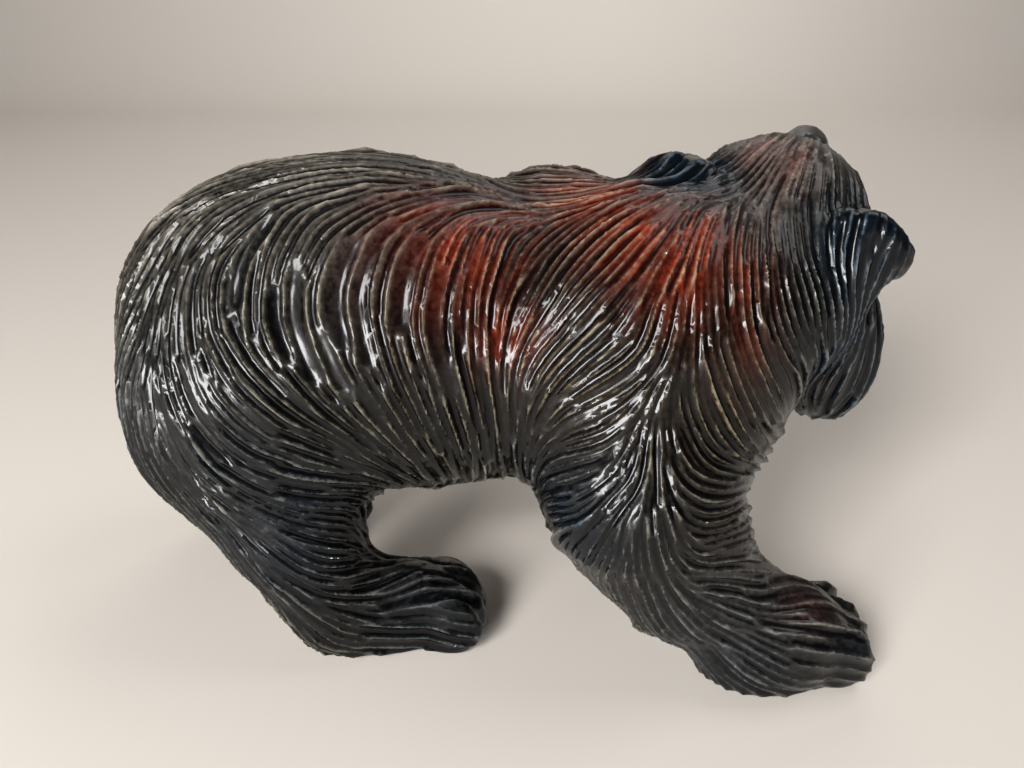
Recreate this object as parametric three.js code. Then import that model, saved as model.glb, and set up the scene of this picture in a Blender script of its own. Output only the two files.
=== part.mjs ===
// A bear on its four feet, carved from one block of wood, with its head turned to its left.
// Millimetres, +Z up, chest towards +X, the bear's left towards +Y.
// The origin is at the bottom centre of the bear's own box.
import * as THREE from "three";

// Driving sizes
const LENGTH = 340; // from the rump to the foremost toe
const LOCK_WIDTH = 9.5; // from groove to groove on the broad locks of the coat
const LOCK_LENGTH = 44; // one cut of the gouge
const LOCK_DEPTH = 3.2; // how far a groove lies below the crest of its lock
const GRID_STEP = 2.4; // spacing of the grid on which the form is sampled
const FACES = 9600; // triangles that are left to describe the carving

// Every place and radius below is drawn on a bear that is 338 long, so these are shares of LENGTH.
const DRAWN_LENGTH = 338;
const unit = LENGTH / DRAWN_LENGTH;
const REACH = { low: [-178, -94, 0], high: [178, 100, 222] };

// A frame turned left by yaw, then nose up by pitch, then leaning to its right by roll
function turned(yaw, pitch = 0, roll = 0) {
  const euler = new THREE.Euler(...[roll, -pitch, yaw].map(THREE.MathUtils.degToRad), "ZYX");
  return new THREE.Matrix4().makeRotationFromEuler(euler);
}

// Forms are functions that give the distance from a point to their surface, less than 0 inside.
function ellipsoid(at, radii, turn = null) {
  const [a, b, c] = radii;
  const e = turn ? turn.elements : new THREE.Matrix4().elements;
  return (x, y, z) => {
    const dx = x - at[0];
    const dy = y - at[1];
    const dz = z - at[2];
    const u = (dx * e[0] + dy * e[1] + dz * e[2]) / a;
    const v = (dx * e[4] + dy * e[5] + dz * e[6]) / b;
    const w = (dx * e[8] + dy * e[9] + dz * e[10]) / c;
    const near = Math.sqrt(u * u + v * v + w * w);
    const slope = Math.sqrt((u * u) / (a * a) + (v * v) / (b * b) + (w * w) / (c * c));
    return slope < 1e-9 ? -Math.min(a, b, c) : (near * (near - 1)) / slope;
  };
}

// Two balls with a straight skin between them
function limb(from, fromRadius, to, toRadius) {
  const axis = to.map((value, i) => value - from[i]);
  const span = axis[0] ** 2 + axis[1] ** 2 + axis[2] ** 2;
  const taper = fromRadius - toRadius;
  const skin = span - taper * taper;
  return (x, y, z) => {
    const dx = x - from[0];
    const dy = y - from[1];
    const dz = z - from[2];
    const along = dx * axis[0] + dy * axis[1] + dz * axis[2];
    const beyond = along - span;
    const px = dx * span - axis[0] * along;
    const py = dy * span - axis[1] * along;
    const pz = dz * span - axis[2] * along;
    const aside = px * px + py * py + pz * pz;
    const bend = Math.sign(taper) * taper * taper * aside;
    if (Math.sign(beyond) * skin * beyond * beyond * span > bend) {
      return Math.sqrt(aside + beyond * beyond * span) / span - toRadius;
    }
    if (Math.sign(along) * skin * along * along * span < bend) {
      return Math.sqrt(aside + along * along * span) / span - fromRadius;
    }
    return (Math.sqrt((aside * skin) / span) + along * taper) / span - fromRadius;
  };
}

function merge(a, b, soft) {
  const h = Math.max(soft - Math.abs(a - b), 0);
  return Math.min(a, b) - (h * h) / (4 * soft);
}

function carve(a, b, soft) {
  return -merge(-a, b, soft);
}

// A growing form: each further mass flows into it over its own soft width
class Form {
  constructor(first) {
    this.steps = [[first, 0, 1]];
  }
  add(shape, soft) {
    this.steps.push([shape, soft, 1]);
    return this;
  }
  cut(shape, soft) {
    this.steps.push([shape, soft, -1]);
    return this;
  }
  get field() {
    const steps = this.steps;
    return (x, y, z) => {
      let d = steps[0][0](x, y, z);
      for (let i = 1; i < steps.length; i++) {
        const [shape, soft, sign] = steps[i];
        d = sign > 0 ? merge(d, shape(x, y, z), soft) : carve(d, shape(x, y, z), soft);
      }
      return d;
    };
  }
}

// Toes side by side in an arc across the front of a foot
const TOE_COUNT = 4;
const TOE = { pitch: 9.2, radii: [15, 6.6, 16.5], swept: 1.6, splay: 5, droop: -14 };

function toes(form, at, side) {
  for (let i = 0; i < TOE_COUNT; i++) {
    const across = i - (TOE_COUNT - 1) / 2;
    const forward = side * across - TOE.swept * across * across;
    const place = [at[0] + forward, at[1] + across * TOE.pitch, at[2]];
    form.add(ellipsoid(place, TOE.radii, turned(across * TOE.splay, TOE.droop)), 3);
  }
  return form.field;
}

// side is -1 for the bear's right, 1 for its left; set back moves the foot, and the joints above it less
function hindLeg(side, setBack) {
  const at = (x, y, z, share) => [x + setBack * share, side * y, z];
  const leg = new Form(ellipsoid(at(-98, 31, 112, 0.3), [52, 34, 58], turned(0, -8)));
  leg.add(ellipsoid(at(-88, 40, 76, 0.6), [32, 25, 38], turned(0, 10)), 14);
  leg.add(limb(at(-82, 43, 58, 0.8), 26, at(-70, 44, 26, 1), 23), 12);
  leg.add(ellipsoid(at(-50, 41, 17, 1), [40, 20, 24], turned(side * -4)), 10);
  return toes(leg, at(-19, 37, 14, 1), side);
}

function foreLeg(side, joints) {
  const [shoulder, elbow, wrist, foot, toe] = joints.map(([x, y, z]) => [x, side * y, z]);
  const pastern = foot.map((value, i) => (value + wrist[i]) / 2);
  const leg = new Form(ellipsoid(shoulder, [44, 30, 58], turned(0, 10)));
  leg.add(limb(elbow, 42, wrist, 32), 16);
  leg.add(ellipsoid(pastern, [31, 25, 25]), 12);
  leg.add(ellipsoid(foot, [38, 24, 25], turned(side * -4, -8)), 10);
  return toes(leg, toe, side);
}

// The head has a frame of its own: forward to the nose, left, up.
const HEAD_AT = [122, 22, 176];
const HEAD_TURN = turned(64, 14, 13);

function head() {
  const skull = new Form(ellipsoid([-2, 0, 0], [41, 40, 38]));
  for (const s of [1, -1]) {
    skull.add(ellipsoid([6, s * 24, -14], [26, 18, 24]), 10);
    skull.add(ellipsoid([-10, s * 37, -42], [26, 21, 37], turned(s * -14, 0, s * 14)), 12);
    skull.add(ellipsoid([26, s * 11, 14], [13, 10, 8]), 8);
  }
  skull.add(limb([20, 0, -10], 23, [60, 0, -7], 14), 10);
  skull.add(limb([5, 0, -26], 20, [52, 0, -20], 10), 7);
  skull.add(ellipsoid([71, 0, 0], [7, 9, 7]), 3);
  for (const s of [1, -1]) {
    const ear = new Form(ellipsoid([-26, s * 36 + 2, 15], [8, 20, 19], turned(s * -12)));
    ear.cut(ellipsoid([-17, s * 38 + 2, 16], [8, 12, 12]), 2);
    skull.add(ear.field, 5);
    skull.cut(ellipsoid([39, s * 15, 6], [6, 6, 5]), 3);
    skull.add(ellipsoid([36, s * 14, 6], [4, 4, 4]), 0.5);
  }
  const local = skull.field;
  const e = HEAD_TURN.elements;
  return (x, y, z) => {
    const dx = x - HEAD_AT[0];
    const dy = y - HEAD_AT[1];
    const dz = z - HEAD_AT[2];
    return local(
      dx * e[0] + dy * e[1] + dz * e[2],
      dx * e[4] + dy * e[5] + dz * e[6],
      dx * e[8] + dy * e[9] + dz * e[10],
    );
  };
}

// Stride: the right legs are set forward and the left legs back.
const RIGHT_FORE = [[57, 34, 122], [62, 44, 84], [84, 50, 47], [121, 61, 18], [150, 56, 16]];
const LEFT_FORE = [[50, 34, 122], [46, 40, 84], [52, 42, 48], [78, 42, 17], [106, 40, 15]];
const HIND_STRIDE = -66;
const FORE_STRIDE = -44;

function bearForm() {
  const bear = new Form(ellipsoid([-72, 1, 137], [86, 58, 71])); // rump
  bear.add(ellipsoid([-42, 0, 148], [60, 50, 57]), 20); // croup
  bear.add(ellipsoid([-20, 0, 131], [80, 58, 65]), 20); // belly
  bear.add(ellipsoid([58, -4, 132], [62, 58, 66]), 20); // rib cage
  bear.add(ellipsoid([27, 26, 164], [42, 24, 36]), 14); // left shoulder blade
  bear.add(limb([82, -6, 146], 50, [116, 0, 150], 40), 16); // neck
  bear.add(ellipsoid([94, -12, 114], [32, 40, 42]), 16); // chest
  bear.add(hindLeg(-1, 0), 16);
  bear.add(hindLeg(1, HIND_STRIDE), 16);
  bear.add(foreLeg(-1, RIGHT_FORE), 16);
  bear.add(foreLeg(1, LEFT_FORE), 16);
  bear.add(head(), 12);
  return bear.field;
}

// How the coat lies: at each place its direction, and how broad its locks are there against
// LOCK_WIDTH. The places are on the bear's right, and its left has the same ones mirrored.
const COAT = {
  rump: { broad: 0.9, lie: [
    [-35, -15, 206, -1, 0, 0.1], [-90, -15, 203, -1, 0, -0.2], [-135, 0, 180, -0.8, 0, -0.8],
    [-96, -33, 191, -0.8, -0.3, -0.5], [-113, -37, 179, -0.4, -0.5, -0.8],
    [-117, -50, 160, -0.1, -0.5, -0.9], [-111, -60, 141, 0.2, -0.3, -0.9],
    [-98, -65, 125, 0.6, -0.1, -0.8], [-134, -47, 145, -0.4, 0, -0.9], [-155, -5, 125, 0, 0, -1] ] },
  saddle: { broad: 1, lie: [
    [-5, -18, 196, -0.9, -0.5, 0], [-50, -36, 195, -0.8, -0.4, -0.4], [-70, -42, 188, -0.4, -0.5, -0.7],
    [-45, -47, 182, -0.3, -0.5, -0.8], [5, -38, 179, -0.2, -0.7, -0.7] ] },
  flank: { broad: 1.25, lie: [
    [-80, -50, 172, -0.1, -0.5, -0.9], [-63, -59, 150, 0.3, -0.2, -0.9], [-45, -59, 112, 0.6, 0.2, -0.8],
    [-20, -59, 145, 0.3, -0.1, -0.9], [-25, -58, 118, 0.2, 0.2, -1], [-3, -52, 160, 0, -0.4, -0.9],
    [8, -55, 125, 0.2, 0, -1], [-40, 0, 66, -1, 0, 0], [10, 0, 66, -1, 0, 0] ] },
  thigh: { broad: 0.9, lie: [
    [-92, -59, 150, 0.5, -0.3, -0.8], [-62, -61, 120, 0.8, 0.1, -0.6], [-66, -60, 93, 0.8, 0.4, -0.3],
    [-119, -62, 105, 0.3, 0, -1], [-85, -66, 80, 0.9, 0, -0.5], [-104, -63, 68, 0.5, -0.2, -0.9],
    [-95, -60, 40, 0.3, 0, -1] ] },
  hindPaw: { broad: 0.8, lie: [
    [-75, -68, 34, 0.6, 0.1, -0.8], [-40, -49, 38, 0.8, 0.6, 0.1], [-18, -46, 30, 1, 0.3, -0.2],
    [-40, -60, 14, 1, 0.2, -0.2] ] },
  shoulder: { broad: 0.95, lie: [
    [80, -12, 199, -1, -0.3, 0], [20, 14, 197, -1, 0, -0.1], [23, -27, 185, -0.7, -0.6, -0.4],
    [40, -52, 173, -0.7, -0.2, -0.7], [16, -57, 130, -0.4, 0.1, -0.9], [47, -63, 150, -0.8, 0, -0.6],
    [41, -65, 130, -0.8, 0.2, -0.5], [59, -61, 160, -0.2, -0.4, -0.9], [72, -43, 183, -0.2, -0.7, -0.6] ] },
  foreLeg: { broad: 0.85, lie: [
    [34, -66, 113, -0.8, 0.4, -0.4], [45, -78, 100, -0.6, 0, -0.8], [61, -86, 88, 0.2, -0.1, -1],
    [86, -71, 104, 0.7, 0.3, -0.6], [88, -80, 74, 0.8, 0.3, -0.5], [60, -80, 53, 0.3, 0.3, -0.9],
    [94, -60, 124, 0.5, 0.1, -0.9] ] },
  forePaw: { broad: 0.85, lie: [
    [82, -83, 52, 0.5, 0.1, -0.8], [109, -85, 22, 0.9, -0.1, -0.4], [122, -67, 48, 0.8, 0.6, -0.2],
    [148, -76, 24, 1, 0.1, -0.2] ] },
  neck: { broad: 1, lie: [
    [82, -56, 165, 0.1, -0.4, -0.9], [107, -52, 135, 0.5, 0.3, -0.8], [98, -25, 190, -0.2, -0.9, -0.3],
    [125, -38, 162, 0.3, -0.2, -0.9], [120, -10, 100, 0, 0, -1] ] },
};

// The same on the head, in the frame of the head
const HEAD_COAT = { broad: 0.8, lie: [
  [20, 0, 36, -1, 0, 0], [-18, 0, 37, -1, 0, 0], [-38, 0, 15, -0.3, 0, -1], [40, 0, 14, -1, 0, 0.3],
  [55, 0, 6, -1, 0, 0], [20, -36, -10, -0.6, -0.2, -0.8], [-8, -52, -45, -0.2, -0.1, -1],
  [-34, -36, 15, 0, 0, -1], [50, -12, -10, -1, 0, -0.3], [30, 0, -40, -1, 0, -0.3] ] };

// On the left the feet stand further back, so places low on a leg move with them.
function strideAt(x, z) {
  const low = THREE.MathUtils.clamp((140 - z) / 120, 0, 1);
  return low * (x < -10 ? HIND_STRIDE : x > 20 ? FORE_STRIDE : 0);
}

function coatPlaces() {
  const places = [];
  for (const { broad, lie } of Object.values(COAT)) {
    for (const [x, y, z, dx, dy, dz] of lie) {
      places.push([x, y, z, dx, dy, dz, broad]);
      places.push([x + strideAt(x, z), -y, z, dx, -dy, dz, broad]);
    }
  }
  for (const [x, y, z, dx, dy, dz] of HEAD_COAT.lie) {
    for (const s of y === 0 ? [1] : [1, -1]) {
      const at = new THREE.Vector3(x, s * y, z).applyMatrix4(HEAD_TURN);
      const lie = new THREE.Vector3(dx, s * dy, dz).applyMatrix4(HEAD_TURN);
      at.add(new THREE.Vector3(...HEAD_AT));
      places.push([...at, ...lie, HEAD_COAT.broad]);
    }
  }
  return places;
}

// Direction and breadth of the coat at a point, blended from the places round it
const BLEND_REACH = 30;

function coatAt(places, p) {
  const blend = [0, 0, 0, 0];
  let total = 0;
  for (const place of places) {
    const near = (p[0] - place[0]) ** 2 + (p[1] - place[1]) ** 2 + (p[2] - place[2]) ** 2;
    const weight = 1 / (near + BLEND_REACH) ** 2;
    total += weight;
    for (let i = 0; i < 4; i++) blend[i] += weight * place[3 + i];
  }
  return blend.map((value) => value / total);
}

// Half of the distance over which the slope of a form is measured
const SLOPE_REACH = 0.4;

function normalAt(field, p) {
  const n = [0, 1, 2].map((axis) => {
    const a = [...p];
    const b = [...p];
    a[axis] += SLOPE_REACH;
    b[axis] -= SLOPE_REACH;
    return field(...a) - field(...b);
  });
  const size = Math.hypot(...n) || 1;
  return n.map((value) => value / size);
}

// The nearest point of the skin, and the way out of the wood there
function settle(field, p) {
  const n = normalAt(field, p);
  const d = field(...p);
  return { p: p.map((value, i) => value - d * n[i]), n };
}

// A box grid of lists, to find what lies near a point
class Neighbours {
  constructor(size) {
    this.size = size;
    this.cells = new Map();
  }
  key(x, y, z) {
    return ((x + 512) * 1024 + (y + 512)) * 1024 + (z + 512);
  }
  put(p, item) {
    const k = this.key(...p.map((value) => Math.floor(value / this.size)));
    if (!this.cells.has(k)) this.cells.set(k, []);
    this.cells.get(k).push(item);
  }
  around(p) {
    const [a, b, c] = p.map((value) => Math.floor(value / this.size));
    const found = [];
    for (let x = a - 1; x <= a + 1; x++) {
      for (let y = b - 1; y <= b + 1; y++) {
        for (let z = c - 1; z <= c + 1; z++) found.push(...(this.cells.get(this.key(x, y, z)) || []));
      }
    }
    return found;
  }
}

function distance(a, b) {
  return Math.hypot(a[0] - b[0], a[1] - b[1], a[2] - b[2]);
}

const CUT_STEP = 2.5; // between the points that a cut is followed through
const CUT_ROOM = 0.62; // how near a running cut comes to another, as a share of its width
const WEAKEST_LIE = 0.15; // below this the coat has no direction to follow
const SOLE_EDGE = 3; // no cut comes nearer to the floor
const FEWEST_POINTS = 5; // in a cut that is kept

// One cut of the gouge, followed both ways from its middle along the lie of the coat
function gougeCut(field, places, taken, start, width) {
  const free = (p) => taken.around(p).every((other) => distance(p, other) > width * CUT_ROOM);
  const path = [start];
  for (const way of [1, -1]) {
    let p = start;
    let last = null;
    for (let run = CUT_STEP; run < LOCK_LENGTH / unit / 2; run += CUT_STEP) {
      const { n } = settle(field, p);
      const lie = coatAt(places, p).slice(0, 3);
      const out = lie[0] * n[0] + lie[1] * n[1] + lie[2] * n[2];
      const flat = lie.map((value, i) => way * (value - out * n[i]));
      const size = Math.hypot(...flat);
      const turnsBack = last && (flat[0] * last[0] + flat[1] * last[1] + flat[2] * last[2]) / size < 0.5;
      if (size < WEAKEST_LIE || turnsBack) break;
      last = flat.map((value) => value / size);
      const next = settle(field, p.map((value, i) => value + CUT_STEP * last[i])).p;
      if (next[2] < SOLE_EDGE || !free(next)) break;
      p = next;
      if (way > 0) path.push(p);
      else path.unshift(p);
    }
  }
  return path;
}

// Multiples of it, less their whole parts, fall evenly and in no order.
const GOLDEN_SHARE = 0.61803398875;

// Cuts laid side by side over the whole skin, the seeds taken in a fixed scattered order
function gougeCuts(field, skin) {
  const places = coatPlaces();
  const taken = new Neighbours((LOCK_WIDTH / unit) * 1.4);
  const cuts = [];
  const order = Array.from({ length: skin.length / 3 }, (_, i) => i);
  const scatter = (i) => (i * GOLDEN_SHARE) % 1;
  order.sort((i, j) => scatter(i) - scatter(j));
  for (const at of order) {
    const seed = settle(field, skin.slice(3 * at, 3 * at + 3)).p;
    if (seed[2] < SOLE_EDGE) continue;
    const width = (LOCK_WIDTH / unit) * coatAt(places, seed)[3];
    if (!taken.around(seed).every((other) => distance(seed, other) > width)) continue;
    const path = gougeCut(field, places, taken, seed, width);
    if (path.length < FEWEST_POINTS) continue;
    for (const p of path) taken.put(p, p);
    cuts.push({ path, width });
  }
  return cuts;
}

// How deep the gouge has gone at a point: a round bottom across, sliding in and out at its ends
function grooveField(cuts) {
  const near = new Neighbours((LOCK_WIDTH / unit) * 1.1);
  const deepest = LOCK_DEPTH / unit;
  for (const { path, width } of cuts) {
    for (let i = 0; i < path.length; i++) {
      const t = (i + 0.5) / path.length;
      const share = Math.sin(Math.PI * t ** 1.3) ** 0.6;
      const depth = deepest * share * Math.min(width / (LOCK_WIDTH / unit), 1);
      const hollow = (4 * deepest) / (width * width);
      near.put(path[i], { p: path[i], depth, hollow });
    }
  }
  return (p) => {
    let cut = 0;
    for (const { p: q, depth, hollow } of near.around(p)) {
      const away = (p[0] - q[0]) ** 2 + (p[1] - q[1]) ** 2 + (p[2] - q[2]) ** 2;
      cut = Math.max(cut, depth - hollow * away);
    }
    return cut;
  };
}

// Samples of a field on a box grid; the floor plane falls halfway between two layers
function sample(field, step) {
  const low = [REACH.low[0], REACH.low[1], -1.5 * step];
  const counts = [0, 1, 2].map((i) => Math.ceil((REACH.high[i] - low[i]) / step) + 1);
  const [nx, ny, nz] = counts;
  const values = new Float32Array(nx * ny * nz);
  for (let i = 0, n = 0; i < nx; i++) {
    for (let j = 0; j < ny; j++) {
      for (let k = 0; k < nz; k++) {
        values[n++] = field(low[0] + i * step, low[1] + j * step, low[2] + k * step);
      }
    }
  }
  return { values, counts, low, step };
}

// Two pieces of wood that only touch along an edge of the grid are joined there, because a
// gap narrower than the grid would otherwise leave a skin that meets itself.
function closeNarrowGaps(samples) {
  const { values, counts, step } = samples;
  const [nx, ny, nz] = counts;
  const jump = [ny * nz, nz, 1];
  const filled = -0.05 * step;
  for (let changed = true; changed; ) {
    changed = false;
    for (let i = 0; i < nx - 1; i++) {
      for (let j = 0; j < ny - 1; j++) {
        for (let k = 0; k < nz - 1; k++) {
          const base = i * jump[0] + j * jump[1] + k;
          for (let axis = 0; axis < 3; axis++) {
            const b = base + jump[(axis + 1) % 3];
            const c = base + jump[(axis + 2) % 3];
            const far = b + c - base;
            const inside = values[base] < 0;
            if (inside !== values[far] < 0) continue;
            if (inside === values[b] < 0 || inside === values[c] < 0) continue;
            for (const node of inside ? [b, c] : [base, far]) values[node] = filled;
            changed = true;
          }
        }
      }
    }
  }
  return samples;
}

// The skin of a sampled field: one corner in each cell that the surface crosses, and a face
// across each grid edge that it crosses
function skinOf({ values, counts, low, step }) {
  const [nx, ny, nz] = counts;
  const jump = [ny * nz, nz, 1];
  const corners = new Int32Array(values.length).fill(-1);
  const points = [];
  for (let i = 0; i < nx - 1; i++) {
    for (let j = 0; j < ny - 1; j++) {
      for (let k = 0; k < nz - 1; k++) {
        const base = i * jump[0] + j * jump[1] + k;
        const sum = [0, 0, 0];
        let hits = 0;
        for (let axis = 0; axis < 3; axis++) {
          const b = (axis + 1) % 3;
          const c = (axis + 2) % 3;
          for (let side = 0; side < 4; side++) {
            const start = base + (side & 1) * jump[b] + (side >> 1) * jump[c];
            const v0 = values[start];
            const v1 = values[start + jump[axis]];
            if (v0 < 0 === v1 < 0) continue;
            sum[axis] += v0 / (v0 - v1);
            sum[b] += side & 1;
            sum[c] += side >> 1;
            hits++;
          }
        }
        if (!hits) continue;
        corners[base] = points.length / 3;
        points.push(...[i, j, k].map((cell, axis) => low[axis] + (cell + sum[axis] / hits) * step));
      }
    }
  }
  const faces = [];
  for (let i = 1; i < nx - 1; i++) {
    for (let j = 1; j < ny - 1; j++) {
      for (let k = 1; k < nz - 1; k++) {
        const base = i * jump[0] + j * jump[1] + k;
        for (let axis = 0; axis < 3; axis++) {
          const inside = values[base] < 0;
          if (inside === values[base + jump[axis]] < 0) continue;
          const b = jump[(axis + 1) % 3];
          const c = jump[(axis + 2) % 3];
          const ring = [base - b - c, base - c, base, base - b].map((cell) => corners[cell]);
          if (!inside) ring.reverse();
          faces.push(ring[0], ring[1], ring[2], ring[0], ring[2], ring[3]);
        }
      }
    }
  }
  return { points, faces };
}

// Sets of numbers that are joined pair by pair
class Groups {
  constructor(count) {
    this.parent = Int32Array.from({ length: count }, (_, i) => i);
  }
  of(i) {
    while (this.parent[i] !== i) {
      this.parent[i] = this.parent[this.parent[i]];
      i = this.parent[i];
    }
    return i;
  }
  join(i, j) {
    this.parent[this.of(i)] = this.of(j);
  }
}

// Where two sheets of the skin only touch in a corner, each gets a corner of its own. Then the
// largest skin is kept, because the wood has no bubbles inside and no crumbs outside.
function oneSkin({ points, faces }) {
  const count = points.length / 3;
  const sides = new Map();
  faces.forEach((from, i) => {
    const to = faces[i % 3 === 2 ? i - 2 : i + 1];
    sides.set(from * count + to, i);
  });
  const corners = new Groups(faces.length);
  const sheets = new Groups(faces.length);
  faces.forEach((from, i) => {
    const next = i % 3 === 2 ? i - 2 : i + 1;
    sheets.join(i, next);
    const across = sides.get(faces[next] * count + from);
    const acrossNext = across % 3 === 2 ? across - 2 : across + 1;
    corners.join(i, acrossNext);
    corners.join(next, across);
    sheets.join(i, across);
  });
  const sizes = new Map();
  faces.forEach((_, i) => sizes.set(sheets.of(i), (sizes.get(sheets.of(i)) || 0) + 1));
  const [largest] = [...sizes].sort((a, b) => b[1] - a[1])[0];
  const numbers = new Map();
  const kept = { points: [], faces: [] };
  faces.forEach((from, i) => {
    if (sheets.of(i) !== largest) return;
    const corner = corners.of(i);
    if (!numbers.has(corner)) {
      numbers.set(corner, kept.points.length / 3);
      kept.points.push(...points.slice(3 * from, 3 * from + 3));
    }
    kept.faces.push(numbers.get(corner));
  });
  return kept;
}

const LEAST_FACING = 0.35; // of a moved face against itself, as the cosine of its turn
const LEAST_SLENDER = 0.12; // twice the area of a face against its longest side squared
const STRETCH_COST = 1e-3; // which makes short edges go first where the form is flat

// Thinning: the edge whose loss changes the form least is closed first, by the squared
// distance of its new corner to the planes of the faces that met there
class Thinning {
  constructor({ points, faces }) {
    this.p = Float64Array.from(points);
    this.f = Int32Array.from(faces);
    this.alive = this.f.length / 3;
    const n = this.p.length / 3;
    this.q = new Float64Array(n * 10);
    this.at = Array.from({ length: n }, () => new Set());
    this.stamp = new Int32Array(n);
    this.heap = [];
    for (let t = 0; t < this.alive; t++) {
      const plane = this.planeOf(t);
      for (let c = 0; c < 3; c++) {
        const v = this.f[3 * t + c];
        this.at[v].add(t);
        this.addPlane(v, plane);
      }
    }
    for (let v = 0; v < n; v++) {
      for (const w of this.ring(v)) if (v < w) this.offer(v, w);
    }
  }
  point(v) {
    return [this.p[3 * v], this.p[3 * v + 1], this.p[3 * v + 2]];
  }
  cross(a, b, c) {
    const u = [b[0] - a[0], b[1] - a[1], b[2] - a[2]];
    const w = [c[0] - a[0], c[1] - a[1], c[2] - a[2]];
    return [u[1] * w[2] - u[2] * w[1], u[2] * w[0] - u[0] * w[2], u[0] * w[1] - u[1] * w[0]];
  }
  planeOf(t) {
    const [a, b, c] = [0, 1, 2].map((i) => this.point(this.f[3 * t + i]));
    const n = this.cross(a, b, c);
    const size = Math.hypot(...n) || 1e-12;
    const m = n.map((value) => value / size);
    return { m, d: -(m[0] * a[0] + m[1] * a[1] + m[2] * a[2]), area: size / 2 };
  }
  addPlane(v, { m: [a, b, c], d, area }) {
    const terms = [a * a, a * b, a * c, a * d, b * b, b * c, b * d, c * c, c * d, d * d];
    for (let i = 0; i < 10; i++) this.q[10 * v + i] += terms[i] * area;
  }
  ring(v) {
    const found = new Set();
    for (const t of this.at[v]) for (let i = 0; i < 3; i++) found.add(this.f[3 * t + i]);
    found.delete(v);
    return found;
  }
  // A corner that belongs to a flat sole stays on it.
  bestPlace(v, w, q) {
    const a = this.point(v);
    const b = this.point(w);
    const aFlat = Math.abs(a[2]) < 1e-6;
    const bFlat = Math.abs(b[2]) < 1e-6;
    if (aFlat !== bFlat) return aFlat ? a : b;
    const middle = a.map((value, i) => (value + b[i]) / 2);
    if (aFlat) return [middle[0], middle[1], 0];
    const m = new THREE.Matrix3().set(q[0], q[1], q[2], q[1], q[4], q[5], q[2], q[5], q[7]);
    const size = q[0] + q[4] + q[7];
    if (Math.abs(m.determinant()) < 1e-4 * size ** 3) return middle;
    const r = new THREE.Vector3(-q[3], -q[6], -q[8]).applyMatrix3(m.invert());
    const best = [r.x, r.y, r.z];
    return distance(best, middle) > distance(a, b) ? middle : best;
  }
  offer(v, w) {
    const q = Array.from({ length: 10 }, (_, i) => this.q[10 * v + i] + this.q[10 * w + i]);
    const place = this.bestPlace(v, w, q);
    const [x, y, z] = place;
    const flat = q[0] * x * x + 2 * q[1] * x * y + 2 * q[2] * x * z + 2 * q[3] * x + q[4] * y * y;
    const cost = flat + 2 * q[5] * y * z + 2 * q[6] * y + q[7] * z * z + 2 * q[8] * z + q[9];
    const stretch = STRETCH_COST * distance(this.point(v), this.point(w)) ** 2;
    this.push({ cost: cost + stretch, v, w, place, made: this.stamp[v] + this.stamp[w] });
  }
  push(item) {
    const heap = this.heap;
    let i = heap.push(item) - 1;
    while (i > 0) {
      const up = (i - 1) >> 1;
      if (heap[up].cost <= heap[i].cost) break;
      [heap[up], heap[i]] = [heap[i], heap[up]];
      i = up;
    }
  }
  pop() {
    const heap = this.heap;
    const top = heap[0];
    const last = heap.pop();
    if (heap.length) {
      heap[0] = last;
      let i = 0;
      for (;;) {
        let least = i;
        for (const child of [2 * i + 1, 2 * i + 2]) {
          if (child < heap.length && heap[child].cost < heap[least].cost) least = child;
        }
        if (least === i) break;
        [heap[least], heap[i]] = [heap[i], heap[least]];
        i = least;
      }
    }
    return top;
  }
  // Moving a corner must not turn a face over or make a sliver of it.
  keepsFaces(v, w, place) {
    for (const t of this.at[v]) {
      const ids = [0, 1, 2].map((i) => this.f[3 * t + i]);
      if (ids.includes(w)) continue;
      const before = this.cross(...ids.map((id) => this.point(id)));
      const moved = ids.map((id) => (id === v ? place : this.point(id)));
      const after = this.cross(...moved);
      const facing = before[0] * after[0] + before[1] * after[1] + before[2] * after[2];
      const size = Math.hypot(...after);
      if (facing < LEAST_FACING * Math.hypot(...before) * size) return false;
      const [a, b, c] = moved;
      const longest = Math.max(distance(a, b), distance(b, c), distance(c, a));
      if (size < LEAST_SLENDER * longest * longest) return false;
    }
    return true;
  }
  close({ v, w, place }) {
    const ringV = this.ring(v);
    let shared = 0;
    for (const id of this.ring(w)) if (ringV.has(id)) shared++;
    if (shared !== 2) return;
    if (!this.keepsFaces(v, w, place) || !this.keepsFaces(w, v, place)) return;
    for (let i = 0; i < 3; i++) this.p[3 * v + i] = place[i];
    for (let i = 0; i < 10; i++) this.q[10 * v + i] += this.q[10 * w + i];
    for (const t of this.at[w]) {
      const ids = [0, 1, 2].map((i) => this.f[3 * t + i]);
      if (ids.includes(v)) {
        for (const id of ids) this.at[id].delete(t);
        this.alive--;
      } else {
        for (let i = 0; i < 3; i++) if (ids[i] === w) this.f[3 * t + i] = v;
        this.at[v].add(t);
      }
    }
    this.at[w].clear();
    this.stamp[w] = -1e9;
    this.stamp[v]++;
    for (const id of this.ring(v)) {
      this.stamp[id]++;
      for (const other of this.ring(id)) if (other !== v) this.offer(id, other);
      this.offer(v, id);
    }
  }
  down(target) {
    while (this.alive > target && this.heap.length) {
      const edge = this.pop();
      if (this.stamp[edge.v] < 0 || this.stamp[edge.w] < 0) continue;
      if (edge.made === this.stamp[edge.v] + this.stamp[edge.w]) this.close(edge);
    }
    return this;
  }
  get result() {
    const index = new Map();
    const points = [];
    const faces = [];
    const number = (v) => {
      if (!index.has(v)) {
        index.set(v, points.length / 3);
        points.push(...this.point(v));
      }
      return index.get(v);
    };
    const seen = new Set();
    this.at.forEach((set) => set.forEach((t) => seen.add(t)));
    for (const t of [...seen].sort((a, b) => a - b)) {
      for (let i = 0; i < 3; i++) faces.push(number(this.f[3 * t + i]));
    }
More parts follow.
